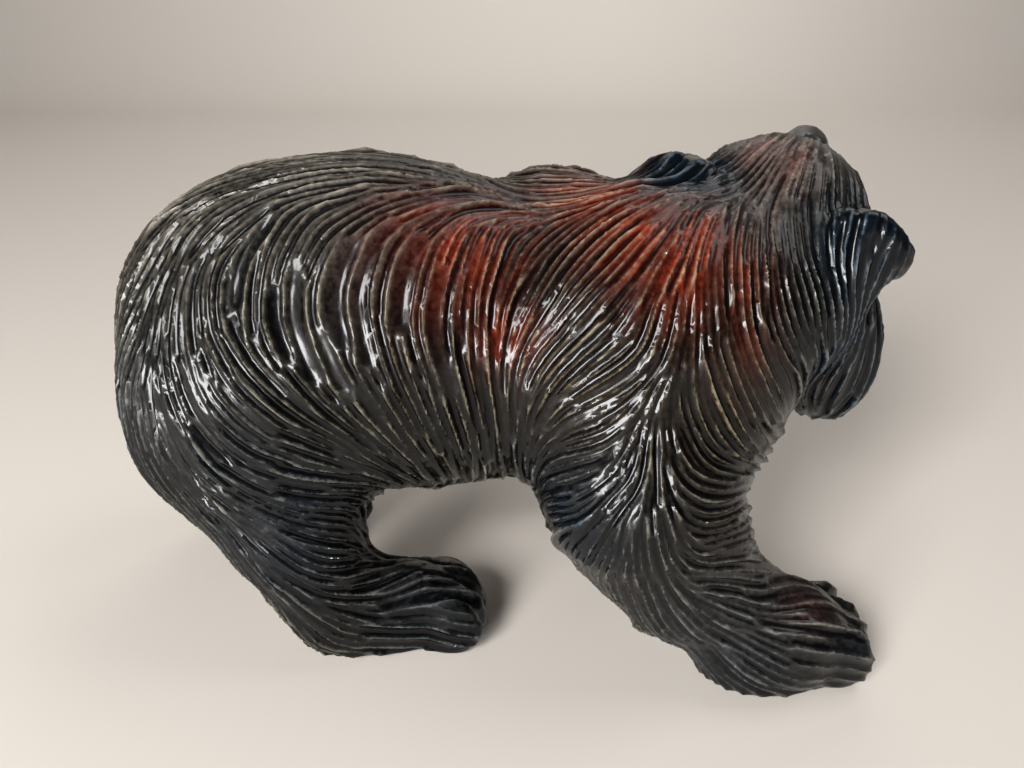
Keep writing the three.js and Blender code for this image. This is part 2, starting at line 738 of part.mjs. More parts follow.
    return { points, faces };
  }
}

// The whole carving: smooth form, cuts laid on its skin, soles sawn flat, then thinned
function carvedBear() {
  const form = bearForm();
  const onFloor = (x, y, z) => Math.max(form(x, y, z), -z);
  const cuts = gougeCuts(form, skinOf(sample(onFloor, (2 * GRID_STEP) / unit)).points);
  const groove = grooveField(cuts);
  const depth = LOCK_DEPTH / unit;
  const carved = (x, y, z) => {
    const d = form(x, y, z);
    const skinned = Math.abs(d) < depth + (2 * GRID_STEP) / unit ? d + groove([x, y, z]) : d;
    return Math.max(skinned, -z);
  };
  const skin = oneSkin(skinOf(closeNarrowGaps(sample(carved, GRID_STEP / unit))));
  const { points, faces } = new Thinning(skin).down(FACES).result;
  const geometry = new THREE.BufferGeometry();
  geometry.setAttribute("position", new THREE.Float32BufferAttribute(points, 3));
  geometry.setIndex(faces);
  geometry.scale(unit, unit, unit);
  geometry.computeBoundingBox();
  const { min, max } = geometry.boundingBox;
  geometry.translate(-(min.x + max.x) / 2, -(min.y + max.y) / 2, -min.z);
  geometry.computeVertexNormals();
  return geometry;
}

const blackStainedWood = new THREE.MeshStandardMaterial({ color: 0x2e2824, roughness: 0.4, metalness: 0 });

const group = new THREE.Group();
const bear = new THREE.Mesh(carvedBear(), blackStainedWood);
bear.name = "bear";
group.add(bear);

export default group;
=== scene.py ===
"""A standing bear, carved from one block of wood, stained black and lacquered."""

import math

import bpy
import numpy as np
from bpy.props import FloatProperty, FloatVectorProperty, IntProperty, PointerProperty
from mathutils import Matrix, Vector, kdtree


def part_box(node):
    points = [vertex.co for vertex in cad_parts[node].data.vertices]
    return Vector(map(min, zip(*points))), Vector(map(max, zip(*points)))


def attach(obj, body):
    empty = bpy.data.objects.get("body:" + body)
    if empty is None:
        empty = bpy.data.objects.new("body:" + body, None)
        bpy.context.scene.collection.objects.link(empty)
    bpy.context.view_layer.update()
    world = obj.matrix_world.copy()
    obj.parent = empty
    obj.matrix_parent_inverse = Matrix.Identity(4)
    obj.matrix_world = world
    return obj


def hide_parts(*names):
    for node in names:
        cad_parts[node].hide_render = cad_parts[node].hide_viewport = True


bl_info = {
    "name": "Carved Wooden Bear",
    "version": (1, 0, 0),
    "blender": (4, 5, 0),
    "location": "3D Viewport > Sidebar > Carving",
    "description": "Carves a bear's coat with gouge cuts and stains and lacquers the wood",
    "category": "Object",
}

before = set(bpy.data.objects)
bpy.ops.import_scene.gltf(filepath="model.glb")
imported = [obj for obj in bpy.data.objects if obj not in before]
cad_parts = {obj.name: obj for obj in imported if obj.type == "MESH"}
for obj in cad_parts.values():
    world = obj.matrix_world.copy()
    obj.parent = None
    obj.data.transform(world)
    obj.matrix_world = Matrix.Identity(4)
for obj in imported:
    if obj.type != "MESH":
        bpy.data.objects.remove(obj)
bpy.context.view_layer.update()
BLOCK_LOW, BLOCK_HIGH = (np.array(corner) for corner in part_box("bear"))

# Every place and radius below is drawn on a bear that is 338 units long, a unit being close to
# a millimetre. The block's own length says how long a unit really is.
DRAWN_LENGTH = 338.0
UNIT = (BLOCK_HIGH[0] - BLOCK_LOW[0]) / DRAWN_LENGTH
# The box that the form is sampled in
REACH_LOW = (-178.0, -94.0)
REACH_HIGH = (178.0, 100.0, 222.0)
# Parts that large arrays are worked through in
FIELD_PARTS, COAT_PARTS = 8, 40


def hex_colour(code):
    """An sRGB hex colour as linear red, green and blue."""
    values = [int(code[i:i + 2], 16) / 255 for i in (1, 3, 5)]
    return tuple(v / 12.92 if v <= 0.04045 else ((v + 0.055) / 1.055) ** 2.4 for v in values)


# Smooth form: the masses of the animal, each a function that gives distances to its surface


def turned(yaw, pitch=0.0, roll=0.0):
    """Columns forward, left and up of a frame turned left, nose up, leaning to its right."""
    y, p, r = np.radians([yaw, pitch, roll])
    about_z = np.array([[np.cos(y), -np.sin(y), 0], [np.sin(y), np.cos(y), 0], [0, 0, 1]])
    about_y = np.array([[np.cos(p), 0, -np.sin(p)], [0, 1, 0], [np.sin(p), 0, np.cos(p)]])
    about_x = np.array([[1, 0, 0], [0, np.cos(r), -np.sin(r)], [0, np.sin(r), np.cos(r)]])
    return about_z @ about_y @ about_x


def ellipsoid(at, radii, turn=None):
    """Distances to an ellipsoid, close to true near it."""
    at, radii = np.array(at, float), np.array(radii, float)

    def field(points):
        q = points - at
        if turn is not None:
            q = q @ turn
        near = np.linalg.norm(q / radii, axis=1)
        slope = np.linalg.norm(q / (radii * radii), axis=1)
        return near * (near - 1) / np.maximum(slope, 1e-9)

    return field


def limb(start, start_radius, end, end_radius):
    """Two balls with a straight skin between them."""
    start, end = np.array(start, float), np.array(end, float)
    axis = end - start
    span = axis @ axis
    taper = start_radius - end_radius
    skin = span - taper * taper

    def field(points):
        q = points - start
        along = q @ axis
        beyond = along - span
        aside = ((q * span - along[:, None] * axis) ** 2).sum(1)
        bend = np.sign(taper) * taper * taper * aside
        at_start = np.sqrt(aside + along * along * span) / span - start_radius
        at_end = np.sqrt(aside + beyond * beyond * span) / span - end_radius
        middle = (np.sqrt(aside * skin / span) + along * taper) / span - start_radius
        middle = np.where(np.sign(along) * skin * along * along * span < bend, at_start, middle)
        return np.where(np.sign(beyond) * skin * beyond * beyond * span > bend, at_end, middle)

    return field


def merge(a, b, soft):
    """The nearer of two distances, rounded where they are close."""
    h = np.maximum(soft - np.abs(a - b), 0)
    return np.minimum(a, b) - h * h / (4 * soft)


class Form:
    """A growing form: each further mass flows into it over its own soft width."""

    def __init__(self, first):
        self.steps = [(first, 1.0, 1)]

    def add(self, shape, soft):
        self.steps.append((shape, soft, 1))

    def cut(self, shape, soft):
        self.steps.append((shape, soft, -1))

    def __call__(self, points):
        d = self.steps[0][0](points)
        for shape, soft, sign in self.steps[1:]:
            d = sign * merge(sign * d, shape(points), soft)
        return d


# Toes of each foot: number, spacing, radii, how far the outer ones stand back, and in degrees how
# they fan out and droop
TOES = 4
TOE_PITCH = 9.2
TOE_RADII = (17, 6.6, 17)
TOE_SWEPT = 1.6
TOE_SPLAY = 5
TOE_DROOP = -14
TOE_SOFT = 2


def add_toes(form, at, side):
    """Toes side by side across the front of a foot."""
    for i in range(TOES):
        across = i - (TOES - 1) / 2
        forward = side * across - TOE_SWEPT * across * across
        place = (at[0] + forward, at[1] + across * TOE_PITCH, at[2])
        form.add(ellipsoid(place, TOE_RADII, turned(across * TOE_SPLAY, TOE_DROOP)), TOE_SOFT)
    return form


def hind_leg(side, set_back):
    """Thigh, knee, shank and foot, each lower one set further back."""
    def at(x, y, z, share):
        return (x + set_back * share, side * y, z)

    leg = Form(ellipsoid(at(-98, 31, 112, 0.3), (52, 34, 58), turned(0, -8)))
    leg.add(ellipsoid(at(-88, 40, 76, 0.6), (32, 25, 38), turned(0, 10)), 14)
    leg.add(limb(at(-82, 43, 58, 0.8), 26, at(-70, 44, 26, 1), 23), 12)
    leg.add(ellipsoid(at(-50, 41, 17, 1), (40, 20, 24), turned(side * -4)), 10)
    return add_toes(leg, at(-19, 37, 14, 1), side)


def fore_leg(side, joints):
    """Shoulder, upper leg, wrist and foot, hung on five places."""
    shoulder, elbow, wrist, foot, toe = [np.array((x, side * y, z), float) for x, y, z in joints]
    leg = Form(ellipsoid(shoulder, (44, 30, 58), turned(0, 10)))
    leg.add(limb(elbow, 42, wrist, 32), 16)
    leg.add(ellipsoid((foot + wrist) / 2, (27, 24, 24)), 8)
    leg.add(ellipsoid(foot, (37, 24, 27), turned(side * -4, -8)), 6)
    return add_toes(leg, toe, side)


HEAD_AT = np.array((122.0, 22.0, 176.0))
HEAD_TURN = turned(64, 14, 13)
EAR_AT = (-26, 36, 14)
EYE_AT = (36, 14, 6)
RUFF_AT = (-9, 42, -45)
NOSE_AT = (71, 0, 7)


def on_head(forward, left, up):
    """A place given in the head's own frame."""
    return HEAD_TURN @ (forward, left, up) + HEAD_AT


def head():
    """Skull, cheeks, ruffs, brows, muzzle, jaw, nose, ears and eyes, in the head's own frame."""
    skull = Form(ellipsoid((-2, 0, 0), (41, 40, 38)))
    for s in (1, -1):
        ruff_at = (RUFF_AT[0], s * RUFF_AT[1], RUFF_AT[2])
        skull.add(ellipsoid((6, s * 24, -14), (26, 18, 24)), 10)
        skull.add(ellipsoid(ruff_at, (28, 24, 41), turned(s * -14, 0, s * 14)), 8)
        skull.add(ellipsoid((26, s * 11, 14), (13, 10, 8)), 8)
    skull.add(limb((20, 0, -8), 23, (60, 0, 1), 14), 10)
    skull.add(limb((5, 0, -26), 20, (52, 0, -18), 10), 7)
    skull.add(ellipsoid(NOSE_AT, (7, 9, 7)), 3)
    for s in (1, -1):
        ear = Form(ellipsoid((EAR_AT[0], s * EAR_AT[1] + 2, EAR_AT[2]), (8, 21, 18), turned(s * -12)))
        ear.cut(ellipsoid((EAR_AT[0] + 9, s * (EAR_AT[1] + 2) + 2, EAR_AT[2] + 1), (8, 13, 12)), 2)
        skull.add(ear, 2)
        skull.cut(ellipsoid((39, s * 15, 6), (6, 6, 5)), 3)
        skull.add(ellipsoid((EYE_AT[0], s * EYE_AT[1], EYE_AT[2]), (4, 4, 4)), 0.5)
    return lambda points: skull((points - HEAD_AT) @ HEAD_TURN)


# Shoulder, elbow, wrist, foot and toes of each fore leg, and how far the left legs are set back
RIGHT_FORE = ((57, 34, 122), (62, 44, 84), (82, 50, 47), (119, 61, 19), (147, 57, 15))
LEFT_FORE = ((50, 34, 122), (46, 40, 84), (52, 42, 48), (78, 42, 17), (106, 40, 15))
HIND_STRIDE = -66.0
FORE_STRIDE = -44.0


# Soft widths of the body's masses, the legs and the head
BODY_SOFT = 20
LEG_SOFT = 16
HEAD_SOFT = 12


def bear_form():
    """Rump, croup, belly, ribs, far shoulder, neck and chest, then the legs and the head."""
    bear = Form(ellipsoid((-72, 1, 137), (86, 58, 71)))
    bear.add(ellipsoid((-42, 0, 148), (60, 50, 57)), BODY_SOFT)
    bear.add(ellipsoid((-20, 0, 131), (80, 58, 65)), BODY_SOFT)
    bear.add(ellipsoid((58, -4, 132), (62, 58, 66)), BODY_SOFT)
    bear.add(ellipsoid((27, 26, 164), (42, 24, 36)), 14)
    bear.add(limb((82, -6, 146), 50, (116, 0, 150), 40), 16)
    bear.add(ellipsoid((94, -12, 114), (32, 40, 42)), 16)
    bear.add(hind_leg(-1, 0), LEG_SOFT)
    bear.add(hind_leg(1, HIND_STRIDE), LEG_SOFT)
    bear.add(fore_leg(-1, RIGHT_FORE), LEG_SOFT)
    bear.add(fore_leg(1, LEFT_FORE), LEG_SOFT)
    bear.add(head(), HEAD_SOFT)
    return bear


# Skin of the form: sampled on a box grid, with one corner in each cell that the surface crosses


def sampled(form, step):
    """Distances on a box grid. The floor falls halfway between two layers of it."""
    low = np.array((*REACH_LOW, -1.5 * step))
    axes = [np.arange(low[i], REACH_HIGH[i] + step, step) for i in range(3)]
    points = np.stack(np.meshgrid(*axes, indexing="ij"), -1).reshape(-1, 3)
    values = np.concatenate([form(part) for part in np.array_split(points, FIELD_PARTS)])
    values = np.maximum(values, -points[:, 2])
    return values.reshape([len(axis) for axis in axes]), low


# How far inside the wood a joined grid point then lies, in steps of the grid
JUST_INSIDE = -0.05


def close_narrow_gaps(values, step):
    """Wood that only touches along a grid edge is joined there, so that the skin never meets itself."""
    while True:
        changed = False
        for b, c in ((0, 1), (1, 2), (2, 0)):
            v = np.moveaxis(values, (b, c), (0, 1))
            inside = v < 0
            p, q, r, s = inside[:-1, :-1], inside[1:, :-1], inside[:-1, 1:], inside[1:, 1:]
            first = p & s & ~q & ~r
            second = q & r & ~p & ~s
            if first.any() or second.any():
                changed = True
                v[1:, :-1][first] = v[:-1, 1:][first] = JUST_INSIDE * step
                v[:-1, :-1][second] = v[1:, 1:][second] = JUST_INSIDE * step
        if not changed:
            return values


def skin_of(values, low, step):
    """Corners and four-sided faces of the zero surface of a sampled field."""
    shape = np.array(values.shape)
    inside = values < 0
    total = np.zeros(tuple(shape - 1) + (3,))
    hits = np.zeros(tuple(shape - 1))
    crossings = []
    for axis in range(3):
        start = [slice(None)] * 3
        end = [slice(None)] * 3
        start[axis], end[axis] = slice(0, -1), slice(1, None)
        v0, v1 = values[tuple(start)], values[tuple(end)]
        crossed = inside[tuple(start)] != inside[tuple(end)]
        place = np.where(crossed, v0 / np.where(crossed, v0 - v1, 1), 0)
        crossings.append(crossed)
        b, c = (axis + 1) % 3, (axis + 2) % 3
        for side_b in (0, 1):
            for side_c in (0, 1):
                pick = [slice(None)] * 3
                pick[b] = slice(side_b, shape[b] - 1 + side_b)
                pick[c] = slice(side_c, shape[c] - 1 + side_c)
                on = crossed[tuple(pick)]
                hits += on
                total[..., axis] += place[tuple(pick)]
                total[..., b] += on * side_b
                total[..., c] += on * side_c
    cells = np.argwhere(hits > 0)
    number = np.full(tuple(shape - 1), -1)
    number[tuple(cells.T)] = np.arange(len(cells))
    mean = total[tuple(cells.T)] / hits[tuple(cells.T)][:, None]
    corners = low + (cells + mean) * step
    faces = []
    for axis in range(3):
        b, c = (axis + 1) % 3, (axis + 2) % 3
        at = np.argwhere(crossings[axis])
        at = at[(at[:, b] > 0) & (at[:, c] > 0)]
        ring = []
        for back_b, back_c in ((1, 1), (0, 1), (0, 0), (1, 0)):
            cell = at.copy()
            cell[:, b] -= back_b
            cell[:, c] -= back_c
            ring.append(number[tuple(cell.T)])
        ring = np.stack(ring, 1)
        outward = inside[tuple(at.T)]
        faces.append(np.where(outward[:, None], ring, ring[:, ::-1]))
    return corners, np.concatenate(faces)


def mesh_from(name, corners, faces):
    """A mesh whose faces all have the same number of sides."""
    mesh = bpy.data.meshes.new(name)
    mesh.vertices.add(len(corners))
    mesh.vertices.foreach_set("co", np.asarray(corners, np.float32).ravel())
    sides = faces.shape[1]
    mesh.loops.add(faces.size)
    mesh.loops.foreach_set("vertex_index", np.asarray(faces, np.int32).ravel())
    mesh.polygons.add(len(faces))
    mesh.polygons.foreach_set("loop_start", np.arange(0, faces.size, sides, dtype=np.int32))
    mesh.update(calc_edges=True)
    return mesh


def corners_and_normals(mesh):
    """Places and normals of a mesh's corners, a row for each."""
    count = len(mesh.vertices)
    corners = np.empty(count * 3, np.float32)
    normals = np.empty(count * 3, np.float32)
    mesh.vertices.foreach_get("co", corners)
    mesh.vertices.foreach_get("normal", normals)
    return corners.reshape(-1, 3).astype(float), normals.reshape(-1, 3).astype(float)


def face_corners(mesh):
    """The corners of each face."""
    ids = np.empty(len(mesh.loops), np.int32)
    mesh.loops.foreach_get("vertex_index", ids)
    return ids.reshape(len(mesh.polygons), -1)


def edge_ends(mesh):
    """The two corners of each edge."""
    ids = np.empty(len(mesh.edges) * 2, np.int32)
    mesh.edges.foreach_get("vertices", ids)
    return ids.reshape(-1, 2)


def with_modifier(mesh, kind, **settings):
    """The mesh as one of Blender's modifiers leaves it."""
    helper = bpy.data.objects.new("helper", mesh)
    bpy.context.collection.objects.link(helper)
    modifier = helper.modifiers.new(kind, kind)
    for key, value in settings.items():
        setattr(modifier, key, value)
    bpy.context.view_layer.update()
    made = bpy.data.meshes.new_from_object(helper.evaluated_get(bpy.context.evaluated_depsgraph_get()))
    bpy.data.objects.remove(helper)
    return made


# The coat: at each place how the hair lies there, and how broad one gouge cut is, in units.
# The places are on the bear's right side, and its left side has the same ones mirrored.
COAT = {
    "rump top": (3.6, (
        (-35, -15, 206, -1, 0, 0.1), (-60, -25, 202, -1, -0.1, -0.1), (-90, -15, 203, -1, 0, -0.2),
        (-120, -5, 190, -0.9, 0, -0.5), (-145, 0, 165, -0.5, 0, -0.9))),
    "rump side": (4.2, (
        (-96, -33, 191, -0.8, -0.3, -0.5), (-113, -37, 179, -0.4, -0.5, -0.8),
        (-117, -50, 160, -0.1, -0.5, -0.9), (-111, -60, 141, 0.2, -0.3, -0.9),
        (-98, -65, 125, 0.6, -0.1, -0.8))),
    "rear": (3.8, (
        (-132, -32, 168, -0.5, -0.2, -0.8), (-134, -47, 145, -0.5, 0, -0.9),
        (-134, -55, 120, 0, -0.1, -1), (-119, -62, 105, 0.3, 0, -1), (-155, -5, 125, 0, 0, -1),
        (-150, -25, 100, 0.2, 0, -1))),
    "saddle": (4.2, (
        (-5, -18, 196, -0.9, -0.5, 0), (-25, -33, 195, -0.8, -0.5, -0.2),
        (-50, -36, 195, -0.8, -0.4, -0.4), (-70, -42, 188, -0.4, -0.5, -0.7),
        (-45, -47, 182, -0.3, -0.5, -0.8), (-13, -41, 184, -0.3, -0.7, -0.7),
        (5, -38, 179, -0.2, -0.7, -0.7))),
    "flank": (4.0, (
        (-80, -50, 172, -0.1, -0.5, -0.9), (-63, -59, 152, 0.3, -0.2, -0.9),
        (-41, -58, 160, 0.2, -0.3, -0.9), (-24, -51, 173, -0.2, -0.5, -0.9),
        (-20, -59, 146, 0.3, -0.1, -0.9))),
    "rib": (4.6, (
        (-54, -61, 132, 0.5, 0, -0.9), (-46, -59, 114, 0.6, 0.2, -0.8), (-26, -59, 120, 0.3, 0.2, -1),
        (-3, -52, 160, 0, -0.4, -0.9), (-4, -58, 136, 0.2, 0, -1), (7, -56, 128, 0.2, 0, -1),
        (10, -50, 98, 0.1, 0.3, -0.9), (-40, -15, 68, -0.9, 0.2, 0), (10, -15, 68, -0.9, 0.2, 0))),
    "thigh": (4.4, (
        (-103, -52, 165, 0.1, -0.5, -0.8), (-92, -59, 152, 0.5, -0.3, -0.8),
        (-79, -62, 137, 0.7, 0, -0.7), (-62, -61, 122, 0.8, 0.1, -0.6),
        (-78, -64, 108, 0.9, 0.2, -0.4), (-66, -60, 94, 0.8, 0.4, -0.3))),
    "shank": (3.8, (
        (-105, -65, 96, 0.7, -0.1, -0.6), (-85, -66, 82, 0.9, 0, -0.5), (-67, -62, 76, 0.8, 0.4, -0.4),
        (-104, -63, 69, 0.5, -0.2, -0.9), (-79, -69, 65, 0.7, 0, -0.7), (-95, -60, 40, 0.4, 0, -1),
        (-60, -40, 60, 0.2, 0.3, -0.9), (-75, -22, 60, 0.2, 0, -1))),
    "hind foot": (4.8, (
        (-75, -68, 34, 0.6, 0.1, -0.8), (-60, -61, 48, 0.7, 0.7, -0.3), (-40, -49, 38, 0.8, 0.6, 0.1),
        (-59, -65, 27, 0.8, 0.2, -0.6), (-40, -60, 14, 1, 0.2, -0.2))),
    "toes": (8.0, (
        (-16, -46, 30, 1, 0.3, -0.2), (-10, -30, 24, 1, 0, -0.4), (-12, -52, 14, 1, 0.1, -0.3),
        (152, -61, 32, 0.9, -0.1, -0.4), (150, -74, 22, 1, 0.1, -0.3), (158, -55, 18, 0.9, 0, -0.6),
        (140, -60, 42, 1, 0.2, -0.2))),
    "back line": (3.4, (
        (81, -12, 199, -1, -0.3, 0), (45, -4, 198, -1, 0, -0.1), (20, 14, 197, -1, 0, -0.1))),
    "withers": (3.8, (
        (56, -28, 193, -0.8, -0.5, -0.3), (23, -27, 185, -0.7, -0.6, -0.4),
        (16, -42, 173, -0.5, -0.5, -0.7))),
    "shoulder": (3.8, (
        (40, -52, 173, -0.7, -0.2, -0.7), (26, -57, 152, -0.7, 0, -0.8), (16, -57, 131, -0.4, 0.1, -0.9),
        (47, -63, 151, -0.8, 0, -0.6), (41, -65, 132, -0.8, 0.2, -0.5), (58, -44, 185, -0.6, -0.6, -0.5),
        (59, -61, 161, -0.2, -0.4, -0.9), (72, -43, 185, -0.3, -0.7, -0.6))),
    "fore leg": (3.6, (
        (34, -66, 115, -0.8, 0.4, -0.4), (27, -66, 93, -0.6, 0.6, -0.5), (45, -78, 101, -0.6, 0, -0.8),
        (59, -72, 119, -0.1, -0.5, -0.9), (61, -86, 89, 0.2, -0.1, -1), (42, -80, 75, -0.2, 0.4, -0.9),
        (67, -84, 64, 0.3, 0.1, -0.9), (59, -80, 55, 0.3, 0.3, -0.9), (50, -20, 60, 0.3, 0, -0.9))),
    "fore leg front": (4.2, (
        (74, -70, 118, 0.5, -0.3, -0.8), (86, -71, 105, 0.9, 0.3, -0.3), (96, -70, 86, 0.8, 0.6, -0.1),
        (88, -80, 75, 1, 0.3, -0.2), (92, -74, 95, 0.9, 0.5, -0.1), (84, -82, 60, 1, 0.2, -0.2),
        (100, -40, 80, 0.5, 0.6, -0.6))),
    "fore foot": (4.6, (
        (82, -83, 53, 0.5, 0.1, -0.8), (100, -82, 37, 0.9, -0.1, -0.4), (85, -80, 29, 0.6, 0, -0.8),
        (109, -85, 23, 0.8, -0.1, -0.5), (125, -80, 34, 1, 0.1, -0.3), (122, -67, 49, 0.8, 0.6, -0.3))),
    "chest": (4.4, (
        (82, -56, 167, 0.1, -0.4, -0.9), (91, -59, 149, 0.4, 0, -0.9), (107, -52, 137, 0.5, 0.3, -0.8),
        (94, -60, 125, 0.5, 0.1, -0.9), (110, -46, 108, 0.4, 0.6, -0.6), (125, -10, 108, 0.1, 0, -1))),
    "neck": (4.2, (
        (78, -32, 192, -0.4, -0.8, -0.4), (98, -25, 190, -0.3, -0.9, -0.3), (113, -27, 184, 0, -0.8, -0.6),
        (125, -38, 164, 0.3, -0.2, -0.9), (118, -44, 146, 0.5, 0.3, -0.8), (90, -48, 175, 0, -0.6, -0.8))),
}

# The same on the head, in the head's own frame: forward, left, up
HEAD_COAT = {
    "crown": (2.4, (
        (20, 0, 36, -1, 0, 0), (0, -22, 33, -0.9, -0.4, -0.1), (-18, 0, 37, -1, 0, -0.1),
        (10, -15, 34, -0.9, -0.2, 0), (-20, -15, 33, -0.9, -0.3, -0.3), (15, -28, 20, -0.7, -0.5, -0.4),
        (-5, -35, 15, -0.6, -0.4, -0.6), (-38, 0, 15, -0.4, 0, -1), (-30, -24, 20, -0.4, -0.5, -0.8),
        (40, 0, 14, -0.9, 0, 0.4))),
    "muzzle": (2.6, (
        (55, 0, 6, -1, 0, 0.1), (48, -14, -8, -1, -0.1, -0.2), (45, 0, -30, -1, 0, -0.2))),
    "cheek": (3.6, (
        (25, -30, -8, -0.8, -0.3, -0.6), (10, -40, -14, -0.5, -0.3, -0.8),
        (5, -12, -46, -0.8, -0.1, -0.5))),
    "ruff": (8.5, (
        (0, -50, -40, -0.3, -0.2, -0.9), (-18, -56, -45, -0.1, 0, -1), (-5, -45, -70, -0.2, 0.2, -0.9))),
    "ear": (4.6, (
        (-34, -30, 17, 0.1, 0, -1), (-34, -38, 17, 0.1, 0, -1), (-34, -47, 15, 0.1, 0.1, -1),
        (-32, -34, 28, -0.2, 0, -1), (-32, -44, 26, -0.2, 0, -1), (-17, -38, 16, 0.3, 0, 1))),
}

# The near side has this share of the breadths above, and the far side has the second share at
# places this far from the middle plane
FINENESS = 0.88
HIDDEN_BREADTH = 1.9
HIDDEN_FROM = 30

# A place of the coat rules within this many square units, and the lie is then smoothed this often
COAT_REACH = 40
COAT_ROUNDS = 50

# The left legs are set back from this height down, and in full that much lower
STRIDE_TOP, STRIDE_FALL = 140, 120
HIND_FROM, FORE_FROM = -10, 20


def stride_at(x, z):
    """How far back a place low on a left leg stands against the same place on the right leg."""
    low = min(max((STRIDE_TOP - z) / STRIDE_FALL, 0), 1)
    if x < HIND_FROM:
        return low * HIND_STRIDE
    if x > FORE_FROM:
        return low * FORE_STRIDE
    return 0


def coat_places():
    """A row for each place of the coat on both sides: place, lie and breadth of a cut."""
    rows = []
    for breadth, places in COAT.values():
        for x, y, z, dx, dy, dz in places:
            rows.append((x, y, z, dx, dy, dz, breadth * FINENESS))
            broader = HIDDEN_BREADTH if y < -HIDDEN_FROM else 1
            rows.append((x + stride_at(x, z), -y, z, dx, -dy, dz, breadth * broader))
    for breadth, places in HEAD_COAT.values():
        for x, y, z, dx, dy, dz in places:
            for s in (1, -1) if y else (1,):
                at = on_head(x, s * y, z)
                lie = HEAD_TURN @ (dx, s * dy, dz)
                rows.append((*at, *lie, breadth))
    return np.array(rows, float)


def spread_over(values, edges, rounds):
    """Each corner's value drawn halfway to its neighbours' mean, again and again."""
    count = len(values)
    ends = np.concatenate((edges[:, 0], edges[:, 1]))
    others = np.concatenate((edges[:, 1], edges[:, 0]))
    degree = np.bincount(ends, minlength=count)
    for _ in range(rounds):
        mean = [np.bincount(ends, values[others, k], count) / degree for k in range(values.shape[1])]
        values = 0.5 * values + 0.5 * np.stack(mean, 1)
    return values


def lie_of_coat(corners, normals, edges):
    """Along the skin at each corner: the way that the hair lies, and the breadth of a cut."""
    rows = coat_places()
    lie = np.empty((len(corners), 4))
    for part in np.array_split(np.arange(len(corners)), COAT_PARTS):
        away = ((corners[part, None] - rows[None, :, :3]) ** 2).sum(2)
        weight = 1 / (away + COAT_REACH) ** 2
        lie[part] = (weight @ rows[:, 3:]) / weight.sum(1)[:, None]
    lie = spread_over(lie, edges, COAT_ROUNDS)
    way = lie[:, :3]
    way -= (way * normals).sum(1)[:, None] * normals
    size = np.linalg.norm(way, axis=1)
    way /= np.maximum(size, 1e-6)[:, None]
    return way, lie[:, 3], size


class Neighbours:
    """Points with the breadth of their cuts in a box grid, to see whether a new one has room."""

    def __init__(self, size):
        self.size = size
        self.cells = {}

    def put(self, p, width):
        key = (int(p[0] // self.size), int(p[1] // self.size), int(p[2] // self.size))
        self.cells.setdefault(key, []).append((p[0], p[1], p[2], width))

    def free(self, p, way, width, share):
        """Whether every other cut is further off than a share of the mean of both breadths.

        What lies straight ahead or behind counts as further off, so that cuts follow end to end.
        """
        x, y, z = p
        i, j, k = int(x // self.size), int(y // self.size), int(z // self.size)
        cells = self.cells
        for a in (i - 1, i, i + 1):
            for b in (j - 1, j, j + 1):
                for c in (k - 1, k, k + 1):
                    for qx, qy, qz, other in cells.get((a, b, c), ()):
                        dx, dy, dz = x - qx, y - qy, z - qz
                        along = dx * way[0] + dy * way[1] + dz * way[2]
                        room = share * 0.5 * (width + other)
                        if dx * dx + dy * dy + dz * dz + AHEAD * along * along < room * room:
                            return False
        return True


# How much more distance along the hair counts than distance across it
AHEAD = 5.0
# Length of one step of the gouge, in units
STEP_ALONG = 1.5
# Wood left outside the smooth form, which the cuts take away again
SPARE_WOOD = 1.6
# A cut comes up to the skin this far from its middle line, in breadths
HOLLOW = 0.59
# The gouge leans to one side or the other by up to this slope
LEAN = 0.36
# A cut runs on by up to this many steps into its neighbours while it thins out
TIP_STEPS = 6
# The gouge keeps this far from the middle of an eye or the nose, and from the floor
BARE_ROUND_EYE = 6.0
BARE_ROUND_NOSE = 9.0
SOLE_EDGE = 2.5
# The carving reaches its full relief this much above the edge of the sole
SOLE_BLEND = 2
# Room that a new cut, one that runs on, and the next one beside it keep, in breadths
SEED_ROOM = 0.8
RUN_ROOM = 0.58
BESIDE = 0.9
# No cut starts where the lie is weaker than this, and none has fewer places
WEAKEST_LIE = 0.08
FEWEST_PLACES = 5
# Cosine of the sharpest turn that a cut makes in one step
SHARPEST_TURN = 0.5
# Shares of the usual length that a cut is drawn between, and of the usual depth
LENGTH_SPREAD = (0.4, 1.6)
DEPTH_SPREAD = (0.7, 1.25)
# At every so many places of a cut, one more is tried on either side
BESIDE_EVERY = 3
# Boxes of the grids that neighbours are looked up in
ROOM_GRID = 8.5
CUT_GRID = 5.5
# Depth of a cut: its least, what it gains with its breadth, and its most
LEAST_DEPTH, DEPTH_PER_BREADTH, MOST_DEPTH = 1.2, 0.4, 3.3
# A cut slides in over the first length and out over the second, along curves of these powers
SLIDE_IN, SLIDE_OUT = 14, 9
IN_POWER, OUT_POWER = 0.8, 0.7
# The depth that stands for no cut at all
UNCUT = -9.0

# The broad bright cuts on the flank: a place that each runs through, and its breadth
BROAD_CUTS = (
    (-68, -52, 170, 9.5), (-55, -55, 167, 10), (-52, -59, 155, 8.5), (-39, -58, 160, 9.5),
    (-32, -54, 170, 9), (-57, -59, 150, 8), (-88, -44, 180, 8), (-18, -57, 156, 8),
    (-75, -57, 159, 7), (-45, -50, 178, 7.5),
)


def bare_places():
    """Eyes and nose, which the gouge leaves smooth: centre and radius of each."""
    eyes = [(on_head(EYE_AT[0], s * EYE_AT[1], EYE_AT[2]), BARE_ROUND_EYE) for s in (1, -1)]
    return eyes + [(on_head(*NOSE_AT), BARE_ROUND_NOSE)]


